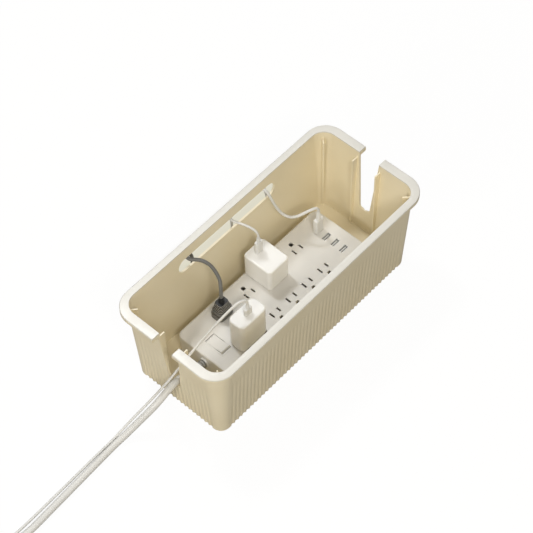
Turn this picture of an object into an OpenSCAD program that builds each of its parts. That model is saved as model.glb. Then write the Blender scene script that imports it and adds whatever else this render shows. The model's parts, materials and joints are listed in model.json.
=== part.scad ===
// Cable management box: a ribbed moulded tub with a power strip, its plugs, chargers and cords.
// Frame: X along the length, Y across, Z up; the origin is on the ground under the middle of the tub.
// The mains lead leaves at the -X end; the cord window is in the +Y wall.

/* [Tub] */
// Length over the rim
tub_l = 400; // [380:1:460]
// Width over the rim
tub_w = 180; // [176:1:220]
// Height from the ground to the top of the rim
tub_h = 150; // [146:1:180]
// Thickness of the walls
wall_t = 2.8; // [2.4:0.1:3.6]
// Thickness of the floor
floor_t = 3; // [2:0.1:4]
// Corner radius of the rim
rim_r = 30; // [24:0.5:36]
// Height of the rim's edge
rim_t = 8; // [5:0.5:10]
// How far the rim stands out from the end walls
rim_out_end = 10.5; // [8:0.5:13]
// How far the rim stands out from the long walls
rim_out_side = 7.5; // [5:0.5:10]
// Bevel of the rim's edges
rim_bevel = 1.2; // [0.5:0.1:2]
// Corner radius of the walls at the base
base_r = 14; // [8:0.5:18]
// How far each wall leans out between the base and the rim
splay = 8; // [5:0.5:10]
// Height of the rubber feet below the tub
foot_h = 1.2; // [0.6:0.1:2.5]
// Radius of the rubber feet
foot_r = 8; // [5:0.5:11]

/* [Flutes] */
// Distance from flute to flute
flute_pitch = 7; // [6.6:0.1:12]
// Radius of a flute's hollow
flute_r = 3.2; // [2:0.1:3.2]
// Depth of the flutes at the base
flute_depth = 1.3; // [0.6:0.1:1.5]
// Height at which the flutes run out
flute_h = 104; // [60:1:120]

/* [Openings] */
// Height of the bottom of the end slots
slot_z = 43; // [40:1:70]
// Radius of the round bottom of the end slots
slot_r = 9; // [7:0.5:11]
// Lean of each side of the end slots, in degrees
slot_lean = 4.5; // [0.5:0.5:6]
// Length of the cord window in the back wall
window_l = 180; // [160:1:220]
// Height of the cord window
window_h = 22; // [18:0.5:24]
// Height of the window's sill
window_z = 109; // [95:1:114]

/* [Inside ribs] */
// Thickness of the upright ribs
rib_t = 2; // [1.6:0.1:3]
// How far a rib's top stays below the rim
rib_drop = 12; // [6:0.5:20]
// How far a slot rib stands in from the end wall at its top
slot_rib_reach = 10; // [6:0.5:12]
// Distance from the middle of a slot to each rib beside it
slot_rib_y = 19.5; // [18:0.5:24]
// How far a corner rib stands in from its corner at its top
corner_rib_reach = 9.8; // [6:0.2:12]

/* [Power strip] */
// Length of the strip
strip_l = 270; // [262:1:300]
// Width of the strip
strip_w = 100; // [92:1:110]
// Height of the strip
strip_h = 33.8; // [32:0.1:40]
// Corner radius of the strip
strip_r = 9; // [6:0.5:12]
// Wall of the strip's two shells
strip_wall = 2.2; // [1.8:0.1:3]
// Height of the strip's lower shell
tray_h = 14; // [12:0.5:18]
// Middle of the strip along the tub
strip_x = 8.5; // [-8:0.5:14]
// Middle of the strip across the tub
strip_y = 4.7; // [-6:0.1:8]
// Distance between neighbouring outlets in the front row
outlet_pitch = 31.3; // [30:0.1:32]
// Number of outlets in the front row
front_outlets = 6; // [4:1:6]
// Number of outlets in the back row
back_outlets = 4; // [2:1:4]
// Distance between the two rows of blade slots
row_gap = 45; // [42:0.5:48]
// Distance from the strip's far end to the first outlets
first_outlet = 66.2; // [64:0.2:68]

/* [Outlets and blades] */
// Distance between the two blades
blade_gap = 12.7; // [12.7:0.1:13]
// Distance from the blades to the ground pin
ground_gap = 11.9; // [11.5:0.1:12.2]
// Width of a blade
blade_w = 6.35; // [6:0.05:6.6]
// Thickness of a blade
blade_t = 1.5; // [1.3:0.1:1.7]
// Length of a blade
blade_l = 16; // [14:0.5:17]
// Diameter of a ground pin
pin_d = 4.8; // [4.4:0.1:5]
// Length of a ground pin
pin_l = 18; // [16:0.5:18.5]
// Clearance round a blade or pin
blade_fit = 0.3; // [0.2:0.05:0.4]
// Gap under a plug or charger
seat_gap = 0.3; // [0.2:0.05:0.5]

/* [Switch] */
// Distance from the strip's near end to the switch
switch_inset = 25; // [22:0.5:28]
// Length of the rocker
rocker_l = 30; // [26:0.5:32]
// Width of the rocker
rocker_w = 15.4; // [12:0.2:16]
// Tilt of the rocker at rest, in degrees
rocker_tilt = 6; // [3:0.5:8]
// Radius of the rocker's pivot
pivot_r = 1.6; // [1.2:0.1:2]
// Clearance round the pivot
pivot_fit = 0.06; // [0.04:0.01:0.1]

/* [USB ports] */
// Distance from the strip's far end to the ports
usb_inset = 25; // [22:0.5:28]
// Distance between neighbouring ports
usb_pitch = 14.8; // [13:0.1:16]
// Number of ports
usb_count = 4; // [2:1:5]

/* [Chargers] */
// Length of the cube charger
cube_l = 38.5; // [34:0.5:42]
// Width of the cube charger
cube_w = 48; // [44:0.5:50]
// Height of the cube charger
cube_h = 40; // [34:0.5:46]
// Length of the phone charger
phone_l = 48; // [42:0.5:50]
// Width of the phone charger
phone_w = 26.5; // [24:0.5:28]
// Height of the phone charger
phone_h = 54; // [46:0.5:60]
// Height of a charger's base plate
plate_t = 2; // [1.5:0.1:3]

/* [Cords] */
// Diameter of the mains lead
mains_d = 8.5; // [8.5:0.5:8.5]
// Diameter of the grey cord
grey_d = 5; // [5:0.5:5]
// Diameter of the white charging leads
lead_d = 3.4; // [3.4:0.1:3.4]
// Diameter of the lead from the USB plug
usb_lead_d = 4; // [4:0.5:4]

/* [Hidden] */

cream = [0.90, 0.86, 0.76];
strip_white = [0.94, 0.94, 0.93];
dark = [0.20, 0.19, 0.17];
lead_white = [0.93, 0.92, 0.90];
metal = [0.78, 0.78, 0.76];
brassy = [0.80, 0.66, 0.36];

// A plate whose outline grows by flare on every side from its bottom to its top
module flared_plate(l, w, r, h, flare) {
    cx = l / 2 - r;
    cy = w / 2 - r;
    rotate([90, 0, 0]) translate([0, 0, -cy]) linear_extrude(2 * cy)
        polygon([[-l / 2, 0], [l / 2, 0], [l / 2 + flare, h], [-l / 2 - flare, h]]);
    rotate([90, 0, 90]) translate([0, 0, -cx]) linear_extrude(2 * cx)
        polygon([[-w / 2, 0], [w / 2, 0], [w / 2 + flare, h], [-w / 2 - flare, h]]);
    for (sx = [-1, 1], sy = [-1, 1])
        translate([sx * cx, sy * cy, 0]) cylinder(h = h, r1 = r, r2 = r + flare, $fn = 64);
}

// A plate with upright sides and round corners
module rounded_plate(l, w, r, h) {
    translate([-l / 2, -w / 2 + r, 0]) cube([l, w - 2 * r, h]);
    translate([-l / 2 + r, -w / 2, 0]) cube([l - 2 * r, w, h]);
    for (sx = [-1, 1], sy = [-1, 1])
        translate([sx * (l / 2 - r), sy * (w / 2 - r), 0]) cylinder(h = h, r = r, $fn = 64);
}

// The rounded-over top edge of a plate: short slopes along a quarter of a circle
module soft_edge(l, w, r, e, slopes = 3) {
    for (k = [0 : slopes - 1]) {
        low = 90 / slopes * k;
        high = 90 / slopes * (k + 1);
        inset = e * (1 - cos(low));
        translate([0, 0, e * sin(low)])
            flared_plate(l - 2 * inset, w - 2 * inset, r - inset,
                         e * (sin(high) - sin(low)), -e * (cos(low) - cos(high)));
    }
}

// A moulded block with round corners and rounded top and bottom edges
module soft_block(l, w, r, h, top, bottom) {
    translate([0, 0, bottom]) rounded_plate(l, w, r, h - top - bottom);
    translate([0, 0, h - top]) soft_edge(l, w, r, top);
    if (bottom > 0) translate([0, 0, bottom]) mirror([0, 0, 1]) soft_edge(l, w, r, bottom);
}

// A bend relief: a round sleeve that narrows in rings, standing on z = 0
module ringed_sleeve(r_base, r_tip, length, rings) {
    step = length / rings;
    groove = 0.2 * r_tip;
    rotate_extrude($fn = 48) polygon(concat(
        [[0, 0]],
        [for (k = [0 : rings - 1]) let (r = r_base + (r_tip - r_base) * k / max(rings - 1, 1))
            each [[r, k * step], [r, (k + 0.62) * step],
                  [r - groove, (k + 0.7) * step], [r - groove, (k + 1) * step]]],
        [[0, length]]));
}

function unit(v) = v / norm(v);
function heading(p, i) = unit(p[min(i + 1, len(p) - 1)] - p[max(i - 1, 0)]);
function sideways(p, i, last) =
    let (t = heading(p, i), n = unit(last - (last * t) * t))
    i == len(p) - 1 ? [n] : concat([n], sideways(p, i + 1, n));

// A cord swept along its points; start is any direction that isn't along the first stretch
module tube(p, d, start, sides) {
    n = sideways(p, 0, start);
    last = len(p) - 1;
    rings = [for (i = [0 : last], k = [0 : sides - 1])
        let (a = 360 * k / sides)
        p[i] + d / 2 * (cos(a) * n[i] + sin(a) * cross(heading(p, i), n[i]))];
    walls = [for (i = [0 : last - 1], k = [0 : sides - 1])
        let (q = (k + 1) % sides)
        [i * sides + k, (i + 1) * sides + k, (i + 1) * sides + q, i * sides + q]];
    ends = [[for (k = [0 : sides - 1]) k], [for (k = [sides - 1 : -1 : 0]) last * sides + k]];
    polyhedron(points = rings, faces = concat(walls, ends), convexity = 6);
}

// The outer shape of a round coil that lies on the ground
module coil(at, mean_r, width, height) {
    bevel = 0.2 * height;
    translate(at) rotate_extrude($fn = 72) translate([mean_r - width / 2, 0])
        polygon([[bevel, 0], [width - bevel, 0], [width, bevel], [width, height - bevel],
                 [width - bevel, height], [bevel, height], [0, height - bevel], [0, bevel]]);
}

// ---- Tub ----

base_l = tub_l - 2 * (rim_out_end + splay);
base_w = tub_w - 2 * (rim_out_side + splay);
wall_h = tub_h - rim_t - foot_h;
slope = splay / wall_h;
floor_z = foot_h + floor_t;
rib_top = tub_h - rib_drop;
slot_bite = 0.05;
past = 1;
rim_wall = 2.6;
foot_recess = 0.8;
foot_inset = 22;
slot_rib_foot = 4;

// Half length and half width inside the walls at height z
function inner_x(z) = base_l / 2 - wall_t + slope * (z - foot_h);
function inner_y(z) = base_w / 2 - wall_t + slope * (z - foot_h);

// The rim's bevels and its edge share a core that runs through all three
module rim() {
    core = 2 * rim_bevel;
    translate([0, 0, tub_h - rim_t]) {
        rounded_plate(tub_l - 2 * core, tub_w - 2 * core, rim_r - core, rim_t);
        flared_plate(tub_l - 2 * rim_bevel, tub_w - 2 * rim_bevel, rim_r - rim_bevel, rim_bevel, rim_bevel);
        translate([0, 0, rim_bevel]) rounded_plate(tub_l, tub_w, rim_r, rim_t - 2 * rim_bevel);
        translate([0, 0, rim_t - rim_bevel]) flared_plate(tub_l, tub_w, rim_r, rim_bevel, -rim_bevel);
    }
}

// The outer shape of the leaning walls, up to h above their foot
module wall_shape(h) {
    translate([0, 0, foot_h]) flared_plate(base_l, base_w, base_r, h, slope * h);
}

// The hollow under the rim, which stays closed beside the end slots
module rim_hollow() {
    inset = 2 * rim_wall;
    difference() {
        translate([0, 0, tub_h - rim_t - past])
            rounded_plate(tub_l - inset, tub_w - inset, rim_r - rim_wall, rim_t - rim_wall + past);
        wall_shape(wall_h + rim_t);
        translate([-tub_l / 2, -slot_rib_y, 0]) cube([tub_l, 2 * slot_rib_y, tub_h]);
    }
}

module cavity() {
    h = tub_h - floor_z + past;
    translate([0, 0, floor_z])
        flared_plate(2 * inner_x(floor_z), 2 * inner_y(floor_z),
                     base_r - wall_t + slope * floor_t, h, slope * h);
}

// One flute for a wall that faces +Y with its foot at y = 0: a leaning round groove that runs out upwards
module flute() {
    turn = atan(slope + flute_depth / flute_h);
    translate([0, -flute_depth, foot_h]) rotate([-turn, 0, 0]) translate([0, flute_r, -2 * flute_r])
        cylinder(h = flute_h + 3 * flute_r, r = flute_r, $fn = 32);
}

module flutes() {
    along = floor((base_l - 2 * base_r) / flute_pitch);
    across = floor((base_w - 2 * base_r) / flute_pitch);
    for (i = [0 : along - 1], side = [0, 180])
        rotate([0, 0, side]) translate([(i - (along - 1) / 2) * flute_pitch, base_w / 2, 0]) flute();
    for (i = [0 : across - 1], side = [90, -90])
        rotate([0, 0, side]) translate([(i - (across - 1) / 2) * flute_pitch, base_l / 2, 0]) flute();
}

module end_slots() {
    low = slot_z + slot_r - slot_r * sin(slot_lean);
    half = slot_r * cos(slot_lean) - slot_bite;
    top = tub_h + past;
    half_top = half + (top - low) * tan(slot_lean);
    reach = rim_out_end + splay + 2 * wall_t;
    for (sx = [-1, 1]) translate([sx * (tub_l / 2 + past - reach / 2), 0, 0]) {
        rotate([90, 0, 90]) translate([0, 0, -reach / 2]) linear_extrude(reach)
            polygon([[-half, low], [half, low], [half_top, top], [-half_top, top]]);
        translate([-reach / 2, 0, slot_z + slot_r]) rotate([0, 90, 0])
            cylinder(h = reach, r = slot_r, $fn = 64);
    }
}

module window() {
    r = window_h / 2;
    back = inner_y(window_z) - wall_t;
    deep = base_w / 2 + splay + wall_t - back;
    translate([-window_l / 2 + r, back, window_z]) cube([window_l - window_h, deep, window_h]);
    for (sx = [-1, 1]) translate([sx * (window_l / 2 - r), back, window_z + r])
        rotate([-90, 0, 0]) cylinder(h = deep, r = r, $fn = 64);
}

// An upright rib in the plane y = 0; it stands in from a wall at x = foot below and x = head above
module upright_rib(foot, head, foot_reach, head_reach) {
    grip = wall_t / 2;
    rotate([90, 0, 0]) translate([0, 0, -rib_t / 2]) linear_extrude(rib_t)
        polygon([[foot - foot_reach, floor_z - grip], [foot + grip, floor_z - grip],
                 [head + grip, rib_top], [head - head_reach, rib_top]]);
}

module inside_ribs() {
    arc_low = base_r - wall_t + slope * floor_t;
    arc_high = base_r - wall_t + slope * (rib_top - foot_h);
    for (side = [0, 180], sy = [-1, 1])
        rotate([0, 0, side]) translate([0, sy * slot_rib_y, 0])
            upright_rib(inner_x(floor_z), inner_x(rib_top), slot_rib_foot, slot_rib_reach);
    for (mx = [0, 1], my = [0, 1]) mirror([mx, 0, 0]) mirror([0, my, 0])
        translate([base_l / 2 - base_r, base_w / 2 - base_r, 0]) rotate([0, 0, 45])
            upright_rib(arc_low, arc_high, corner_rib_reach - arc_high + arc_low, corner_rib_reach);
}

module at_feet() {
    for (sx = [-1, 1], sy = [-1, 1])
        translate([sx * (base_l / 2 - foot_inset), sy * (base_w / 2 - foot_inset), 0]) children();
}

module box_tub() {
    color(cream) {
        difference() {
            difference() {
                union() {
                    wall_shape(wall_h + rim_t / 2);
                    rim();
                }
                rim_hollow();
                flutes();
                cavity();
            }
            end_slots();
            window();
            at_feet() translate([0, 0, foot_h]) cylinder(h = foot_recess, r = foot_r + blade_fit, $fn = 48);
        }
        inside_ribs();
    }
}

module foot_pads() {
    color(dark) at_feet() cylinder(h = foot_h + foot_recess, r = foot_r, $fn = 48);
}

// ---- Power strip: z = 0 is its underside on the tub's floor ----

first_x = strip_l / 2 - first_outlet;
back_row = [for (i = [0 : back_outlets - 1]) [first_x - 1.5 * i * outlet_pitch, row_gap / 2, 1]];
front_row = [for (i = [0 : front_outlets - 1]) [first_x - i * outlet_pitch, -row_gap / 2, -1]];
outlets = concat(back_row, front_row);
top_edge = 2;
ceiling = strip_h - strip_wall;
seat_z = strip_h + seat_gap;
bar_z = seat_z - pin_l - 0.3;
bar_t = 1;
bar_h = 9;
bar_off = 5.5;
leaf_t = 0.5;
leaf_fit = 0.15;
slot_ease = 0.3;
neutral_extra = 1.6;
post_r = 3.6;
post_inset = 9;
boss_top = 12;
screw_r = 1.5;
screw_fit = 0.05;
screw_sink = 8;
screw_head_r = 2.8;
screw_head_t = 2;
screw_bite = 8;
switch_x = -strip_l / 2 + switch_inset;
cup_wall = 1.3;
cup_gap = 0.5;
cup_depth = 12;
bezel_w = 0.9;
bezel_t = 0.4;
pivot_z = strip_h - 5;
usb_x = strip_l / 2 - usb_inset;
port_l = 13.1;
port_w = 5.7;
port_wall = 0.3;
port_gap = 0.2;
board_z = strip_h - 14;
board_t = 1.6;
board_l = 20;
tongue_l = 11;
tongue_t = 1.8;
tongue_y = 0.95;
relief_z = 20.3;
relief_tilt = 12;
relief_neck = 5.5;
relief_flange = 7.5;
relief_flange_t = 2.6;
relief_base_r = 6.4;
relief_tip_r = 5.2;
relief_l = 19.7;

module at_strip() {
    translate([strip_x, strip_y, floor_z]) children();
}

module at_posts() {
    for (sx = [-1, 1], sy = [-1, 1])
        translate([sx * (strip_l / 2 - post_inset), sy * (strip_w / 2 - post_inset), 0]) children();
    for (sx = [-1, 1]) translate([sx * strip_l / 6, 0, 0]) children();
}

// Two blade slots and a round-backed ground hole, cut from above
module outlet_cuts() {
    h = strip_wall + 2 * past;
    room = blade_fit + slot_ease;
    t = blade_t + 2 * room;
    w = blade_w + 2 * room;
    long = w + neutral_extra;
    r = pin_d / 2 + room;
    translate([blade_gap / 2 - t / 2, -w / 2, ceiling - past]) cube([t, w, h]);
    translate([-blade_gap / 2 - t / 2, -long / 2, ceiling - past]) cube([t, long, h]);
    translate([0, ground_gap, ceiling - past]) cylinder(h = h, r = r, $fn = 32);
    translate([-0.85 * r, ground_gap - 1.1 * r, ceiling - past]) cube([1.7 * r, r, h]);
}

module at_outlets() {
    for (o = outlets) translate([o[0], o[1], 0]) mirror([0, o[2] < 0 ? 1 : 0, 0]) children();
}

module at_ports() {
    for (i = [0 : usb_count - 1])
        translate([usb_x, (i - (usb_count - 1) / 2) * usb_pitch, 0]) children();
}

module strip_tray() {
    inner = 2 * strip_wall;
    rib_l = strip_w - inner - 2 * seat_gap;
    color(strip_white) at_strip() difference() {
        union() {
            difference() {
                rounded_plate(strip_l, strip_w, strip_r, tray_h);
                translate([0, 0, strip_wall])
                    rounded_plate(strip_l - inner, strip_w - inner, strip_r - strip_wall, tray_h);
            }
            for (k = [0, 2, 4]) if (k < front_outlets)
                translate([first_x - (k + 0.5) * outlet_pitch - rib_t / 2, -rib_l / 2, strip_wall / 2])
                    cube([rib_t, rib_l, bar_z - strip_wall / 2]);
            at_posts() cylinder(h = boss_top, r = post_r + 0.6, $fn = 48);
            for (sy = [-1, 1]) translate([usb_x, sy * usb_pitch, 0]) cylinder(h = board_z, r = 3, $fn = 48);
        }
        at_posts() {
            translate([0, 0, -past]) cylinder(h = screw_sink + past, r = screw_head_r + 0.4, $fn = 48);
            cylinder(h = boss_top + past, r = screw_r + screw_fit, $fn = 48);
        }
    }
}

module strip_cover() {
    inner = 2 * strip_wall;
    cup_x = rocker_w + 2 * (cup_gap + cup_wall + port_gap);
    cup_y = rocker_l + 2 * (cup_gap + cup_wall + port_gap);
    hole_x = port_l + 2 * port_gap;
    hole_y = port_w + 2 * port_gap;
    color(strip_white) at_strip() difference() {
        union() {
            difference() {
                union() {
                    translate([0, 0, tray_h])
                        rounded_plate(strip_l, strip_w, strip_r, strip_h - tray_h - top_edge);
                    translate([0, 0, strip_h - top_edge]) soft_edge(strip_l, strip_w, strip_r, top_edge, 2);
                }
                translate([0, 0, tray_h - past])
                    rounded_plate(strip_l - inner, strip_w - inner, strip_r - strip_wall,
                                  ceiling - tray_h + past);
            }
            at_posts() translate([0, 0, boss_top])
                cylinder(h = ceiling - boss_top + past, r = post_r, $fn = 48);
        }
        at_posts() translate([0, 0, boss_top - past])
            cylinder(h = screw_bite + 3 * past, r = screw_r + screw_fit, $fn = 48);
        at_outlets() outlet_cuts();
        at_ports() translate([-hole_x / 2, -hole_y / 2, ceiling - past])
            cube([hole_x, hole_y, strip_wall + 2 * past]);
        translate([switch_x - cup_x / 2, -cup_y / 2, ceiling - past])
            cube([cup_x, cup_y, strip_wall + 2 * past]);
        translate([-strip_l / 2 - past, 0, relief_z]) rotate([0, 90, 0])
            cylinder(h = strip_wall + 2 * past, r = relief_neck + 0.1, $fn = 48);
    }
}

module strip_screws() {
    color(metal) at_strip() at_posts() {
        translate([0, 0, screw_sink - screw_head_t]) cylinder(h = screw_head_t, r = screw_head_r, $fn = 48);
        translate([0, 0, screw_sink]) cylinder(h = boss_top - screw_sink + screw_bite, r = screw_r, $fn = 48);
    }
}

// A bar along each row of outlets, with two leaves round every blade it feeds; side is +1 or -1
module bus_bars(side) {
    reach = blade_w / 2 - 0.7 + bar_off;
    leaf = blade_t / 2 + leaf_fit;
    for (row = [back_row, front_row]) {
        long = row[0][0] - row[len(row) - 1][0] + 2 * blade_gap;
        mid = (row[0][0] + row[len(row) - 1][0]) / 2;
        translate([mid - long / 2, row[0][1] + side * bar_off - bar_t / 2, bar_z]) cube([long, bar_t, bar_h]);
        for (o = row, s = [-1, 1])
            translate([o[0] + side * blade_gap / 2 + s * (leaf + leaf_t / 2) - leaf_t / 2,
                       o[1] + (side > 0 ? bar_off - reach : -bar_off), bar_z + 2])
                cube([leaf_t, reach, bar_h]);
    }
}

module line_bus_bars() {
    color(brassy) at_strip() bus_bars(1);
}

module neutral_bus_bars() {
    color(brassy) at_strip() bus_bars(-1);
}

module ground_bus_bars() {
    collar = pin_d / 2 + leaf_fit;
    color(brassy) at_strip() for (row = [back_row, front_row]) {
        long = row[0][0] - row[len(row) - 1][0] + 2 * blade_gap;
        mid = (row[0][0] + row[len(row) - 1][0]) / 2;
        y = row[0][1] + row[0][2] * ground_gap;
        difference() {
            union() {
                translate([mid - long / 2, y - 4, bar_z]) cube([long, 8, bar_t]);
                for (o = row) translate([o[0], y, bar_z]) cylinder(h = bar_h, r = collar + leaf_t, $fn = 48);
            }
            for (o = row) translate([o[0], y, bar_z - past])
                cylinder(h = bar_h + 2 * past, r = collar, $fn = 48);
        }
    }
}

module usb_board() {
    w = usb_count * usb_pitch;
    color([0.10, 0.35, 0.20]) at_strip() translate([usb_x - board_l / 2, -w / 2, board_z])
        cube([board_l, w, board_t]);
}

module usb_port_shells() {
    h = strip_h - port_gap - board_z - board_t;
    color(metal) at_strip() at_ports() translate([0, 0, board_z + board_t]) difference() {
        translate([-port_l / 2, -port_w / 2, 0]) cube([port_l, port_w, h]);
        translate([-port_l / 2 + port_wall, -port_w / 2 + port_wall, -past])
            cube([port_l - 2 * port_wall, port_w - 2 * port_wall, h + 2 * past]);
    }
}

module usb_port_tongues() {
    h = strip_h - port_gap - board_z - board_t - 2;
    color("white") at_strip() at_ports()
        translate([-tongue_l / 2, tongue_y - tongue_t / 2, board_z + board_t]) cube([tongue_l, tongue_t, h]);
}

module at_pivot() {
    at_strip() translate([switch_x, 0, pivot_z]) children();
}

module switch_housing() {
    in_x = rocker_w + 2 * cup_gap;
    in_y = rocker_l + 2 * cup_gap;
    out_x = in_x + 2 * cup_wall;
    out_y = in_y + 2 * cup_wall;
    lip_x = out_x + 2 * bezel_w;
    lip_y = out_y + 2 * bezel_w;
    color(strip_white) at_strip() translate([switch_x, 0, 0]) difference() {
        union() {
            translate([-out_x / 2, -out_y / 2, strip_h - cup_depth])
                cube([out_x, out_y, cup_depth + bezel_t / 2]);
            translate([0, 0, strip_h]) flared_plate(lip_x, lip_y, 1.5, bezel_t, -bezel_t / 2);
        }
        translate([-in_x / 2, -in_y / 2, strip_h - cup_depth + past]) cube([in_x, in_y, cup_depth + bezel_t]);
        translate([-out_x, 0, pivot_z]) rotate([0, 90, 0])
            cylinder(h = 2 * out_x, r = pivot_r + pivot_fit, $fn = 48);
    }
}

// The rocker's two faces meet in a shallow valley over the pivot, and its ends are round about the pivot
module switch_rocker() {
    crown = strip_h - pivot_z - 0.4;
    rise = rocker_l / 2 * tan(rocker_tilt);
    half = rocker_l / 2;
    color(strip_white) at_pivot() rotate([-rocker_tilt, 0, 0]) {
        intersection() {
            rotate([90, 0, 90]) translate([0, 0, -rocker_w / 2]) linear_extrude(rocker_w)
                polygon([[-half, crown + rise], [0, crown], [half, crown + rise], [half, -1],
                         [0.6 * half, -4], [-0.6 * half, -4], [-half, -1]]);
            translate([-rocker_w, 0, 0]) rotate([0, 90, 0]) cylinder(h = 2 * rocker_w, r = half, $fn = 96);
        }
        translate([-rocker_w / 2 - cup_gap - 1, 0, 0]) rotate([0, 90, 0])
            cylinder(h = rocker_w + 2 * (cup_gap + 1), r = pivot_r, $fn = 48);
    }
}

module mains_relief() {
    color(lead_white) at_strip() translate([-strip_l / 2, 0, relief_z]) {
        rotate([0, 90, 0]) translate([0, 0, -relief_flange_t])
            cylinder(h = relief_flange_t, r = relief_flange, $fn = 48);
        rotate([0, 90, 0]) cylinder(h = strip_wall, r = relief_neck, $fn = 48);
        translate([strip_wall, 0, 0]) rotate([0, 90, 0]) cylinder(h = 1.5, r = relief_flange, $fn = 48);
        translate([-relief_flange_t, 0, 0]) rotate([0, relief_tilt - 90, 0]) translate([0, 0, -1.2])
            ringed_sleeve(relief_base_r, relief_tip_r, relief_l, 5);
    }
}

// ---- Plugs and chargers ----

// Two blades under z = 0, reaching up by keep into what holds them
module blades(keep) {
    for (s = [-1, 1]) translate([s * blade_gap / 2 - blade_t / 2, -blade_w / 2, -blade_l])
        cube([blade_t, blade_w, blade_l + keep]);
}

module blade_pockets(keep) {
    for (s = [-1, 1]) translate([s * blade_gap / 2 - blade_t / 2, -blade_w / 2, -past])
        cube([blade_t, blade_w, keep + past]);
}

grey_at = [back_row[back_outlets - 1][0], back_row[0][1]];
cube_at = [back_row[1][0], back_row[1][1]];
phone_at = [front_row[front_outlets - 1][0], front_row[0][1]];
grey_y = 5.3;
grey_plug_l = 27;
grey_plug_w = 20.5;
grey_plug_r = 6.5;
grey_base_h = 9;
grey_neck_h = 2;
grey_step_h = 4;
grey_steps = 4;
grey_step_in = [3, 1.9];
grey_relief_l = 9.7;
cube_off = [-9.1, 4.5];
phone_off = [11.9, 0.8];
pin_seat = 2;

module at_grey() {
    at_strip() translate([grey_at[0], grey_at[1], seat_z]) children();
}

module at_cube() {
    at_strip() translate([cube_at[0], cube_at[1], seat_z]) children();
}

module at_phone() {
    at_strip() translate([phone_at[0], phone_at[1], seat_z]) children();
}

module grey_plug_body() {
    color(dark) at_grey() difference() {
        translate([0, grey_y, 0]) {
            soft_block(grey_plug_l, grey_plug_w, grey_plug_r, grey_base_h, 1.5, 0.6);
            translate([0, 0, grey_base_h - past])
                rounded_plate(grey_plug_l - 6, grey_plug_w - 6, grey_plug_r - 2, grey_neck_h + 2 * past);
            translate([0, 0, grey_base_h + grey_neck_h]) for (k = [0 : grey_steps - 1])
                translate([0, 0, k * grey_step_h])
                    flared_plate(grey_plug_l - 2 - k * grey_step_in[0], grey_plug_w - 2 - k * grey_step_in[1],
                                 grey_plug_r - 0.5, grey_step_h + 0.1, -1.6);
            translate([0, 0, grey_base_h + grey_neck_h + grey_steps * grey_step_h])
                ringed_sleeve(4.9, 3.9, grey_relief_l, 4);
        }
        blade_pockets(pin_seat);
        translate([0, ground_gap, -past]) cylinder(h = pin_seat + past, r = pin_d / 2, $fn = 32);
    }
}

module grey_plug_blades() {
    color(metal) at_grey() three_blades();
}

// A charger's base plate, with a slot for each blade
module charger_plate(l, w, r, off) {
    rim = 1.2;
    difference() {
        translate([off[0], off[1], 0]) rounded_plate(l - 2 * rim, w - 2 * rim, r - rim, plate_t);
        blade_pockets(plate_t + past);
    }
}

// A charger's case over its base plate, with a round-ended socket in its top
module charger_case(l, w, r, h, edge, off, tip) {
    difference() {
        translate([off[0], off[1], plate_t]) soft_block(l, w, r, h - plate_t, edge, 0.6);
        translate([tip[0], tip[1], h - tip_l]) tip_shape(tip_fit, tip_l + past);
    }
}

tip_l = 6;
tip_w = 6.8;
tip_t = 1.8;
tip_fit = 0.1;
tip_gap = 0.2;
grip_l = 12.4;
grip_w = 6.5;

module tip_shape(gap, h) {
    translate([-tip_w / 2 + tip_t / 2, -tip_t / 2 - gap, 0]) cube([tip_w - tip_t, tip_t + 2 * gap, h]);
    for (s = [-1, 1]) translate([s * (tip_w - tip_t) / 2, 0, 0])
        cylinder(h = h, r = tip_t / 2 + gap, $fn = 32);
}

// A lead's small plug: a moulded grip with a ringed sleeve on top
module lead_grip(h, sleeve) {
    soft_block(grip_l, grip_w, 3, h, 1.2, 0.5);
    translate([0, 0, h - 0.5]) ringed_sleeve(2.8, 2.3, sleeve + 0.5, 5);
}

tip_inset = 11.7;
cube_tip = cube_off + [-0.4, cube_w / 2 - tip_inset];
cube_grip_h = 20.7;
cube_sleeve = 8.5;
phone_tip = phone_off + [0.1, -0.5];
phone_grip_h = 12.7;
phone_sleeve = 8;

module cube_charger_case() {
    color("white") at_cube() charger_case(cube_l, cube_w, 6, cube_h, 3.5, cube_off, cube_tip);
}

module cube_charger_plate() {
    color("white") at_cube() charger_plate(cube_l, cube_w, 6, cube_off);
}

module cube_charger_blades() {
    color(metal) at_cube() blades(plate_t);
}

module cube_lead_tip() {
    color(metal) at_cube() translate([cube_tip[0], cube_tip[1], cube_h - tip_l + tip_gap])
        tip_shape(0, tip_l - tip_gap);
}

module cube_lead_grip() {
    color(lead_white) at_cube() translate([cube_tip[0], cube_tip[1], cube_h])
        lead_grip(cube_grip_h, cube_sleeve);
}

module phone_charger_case() {
    color("white") at_phone() charger_case(phone_l, phone_w, 8, phone_h, 5, phone_off, phone_tip);
}

module phone_charger_plate() {
    color("white") at_phone() charger_plate(phone_l, phone_w, 8, phone_off);
}

module phone_charger_blades() {
    color(metal) at_phone() blades(plate_t);
}

module phone_lead_tip() {
    color(metal) at_phone() translate([phone_tip[0], phone_tip[1], phone_h - tip_l + tip_gap])
        tip_shape(0, tip_l - tip_gap);
}

module phone_lead_grip() {
    color(lead_white) at_phone() translate([phone_tip[0], phone_tip[1], phone_h])
        lead_grip(phone_grip_h, phone_sleeve);
}

usb_plug_l = 12;
usb_plug_w = 4.5;
usb_plug_deep = 11.8;

module at_usb() {
    at_strip() translate([usb_x, (usb_count - 1) / 2 * usb_pitch, seat_z]) children();
}

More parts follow.
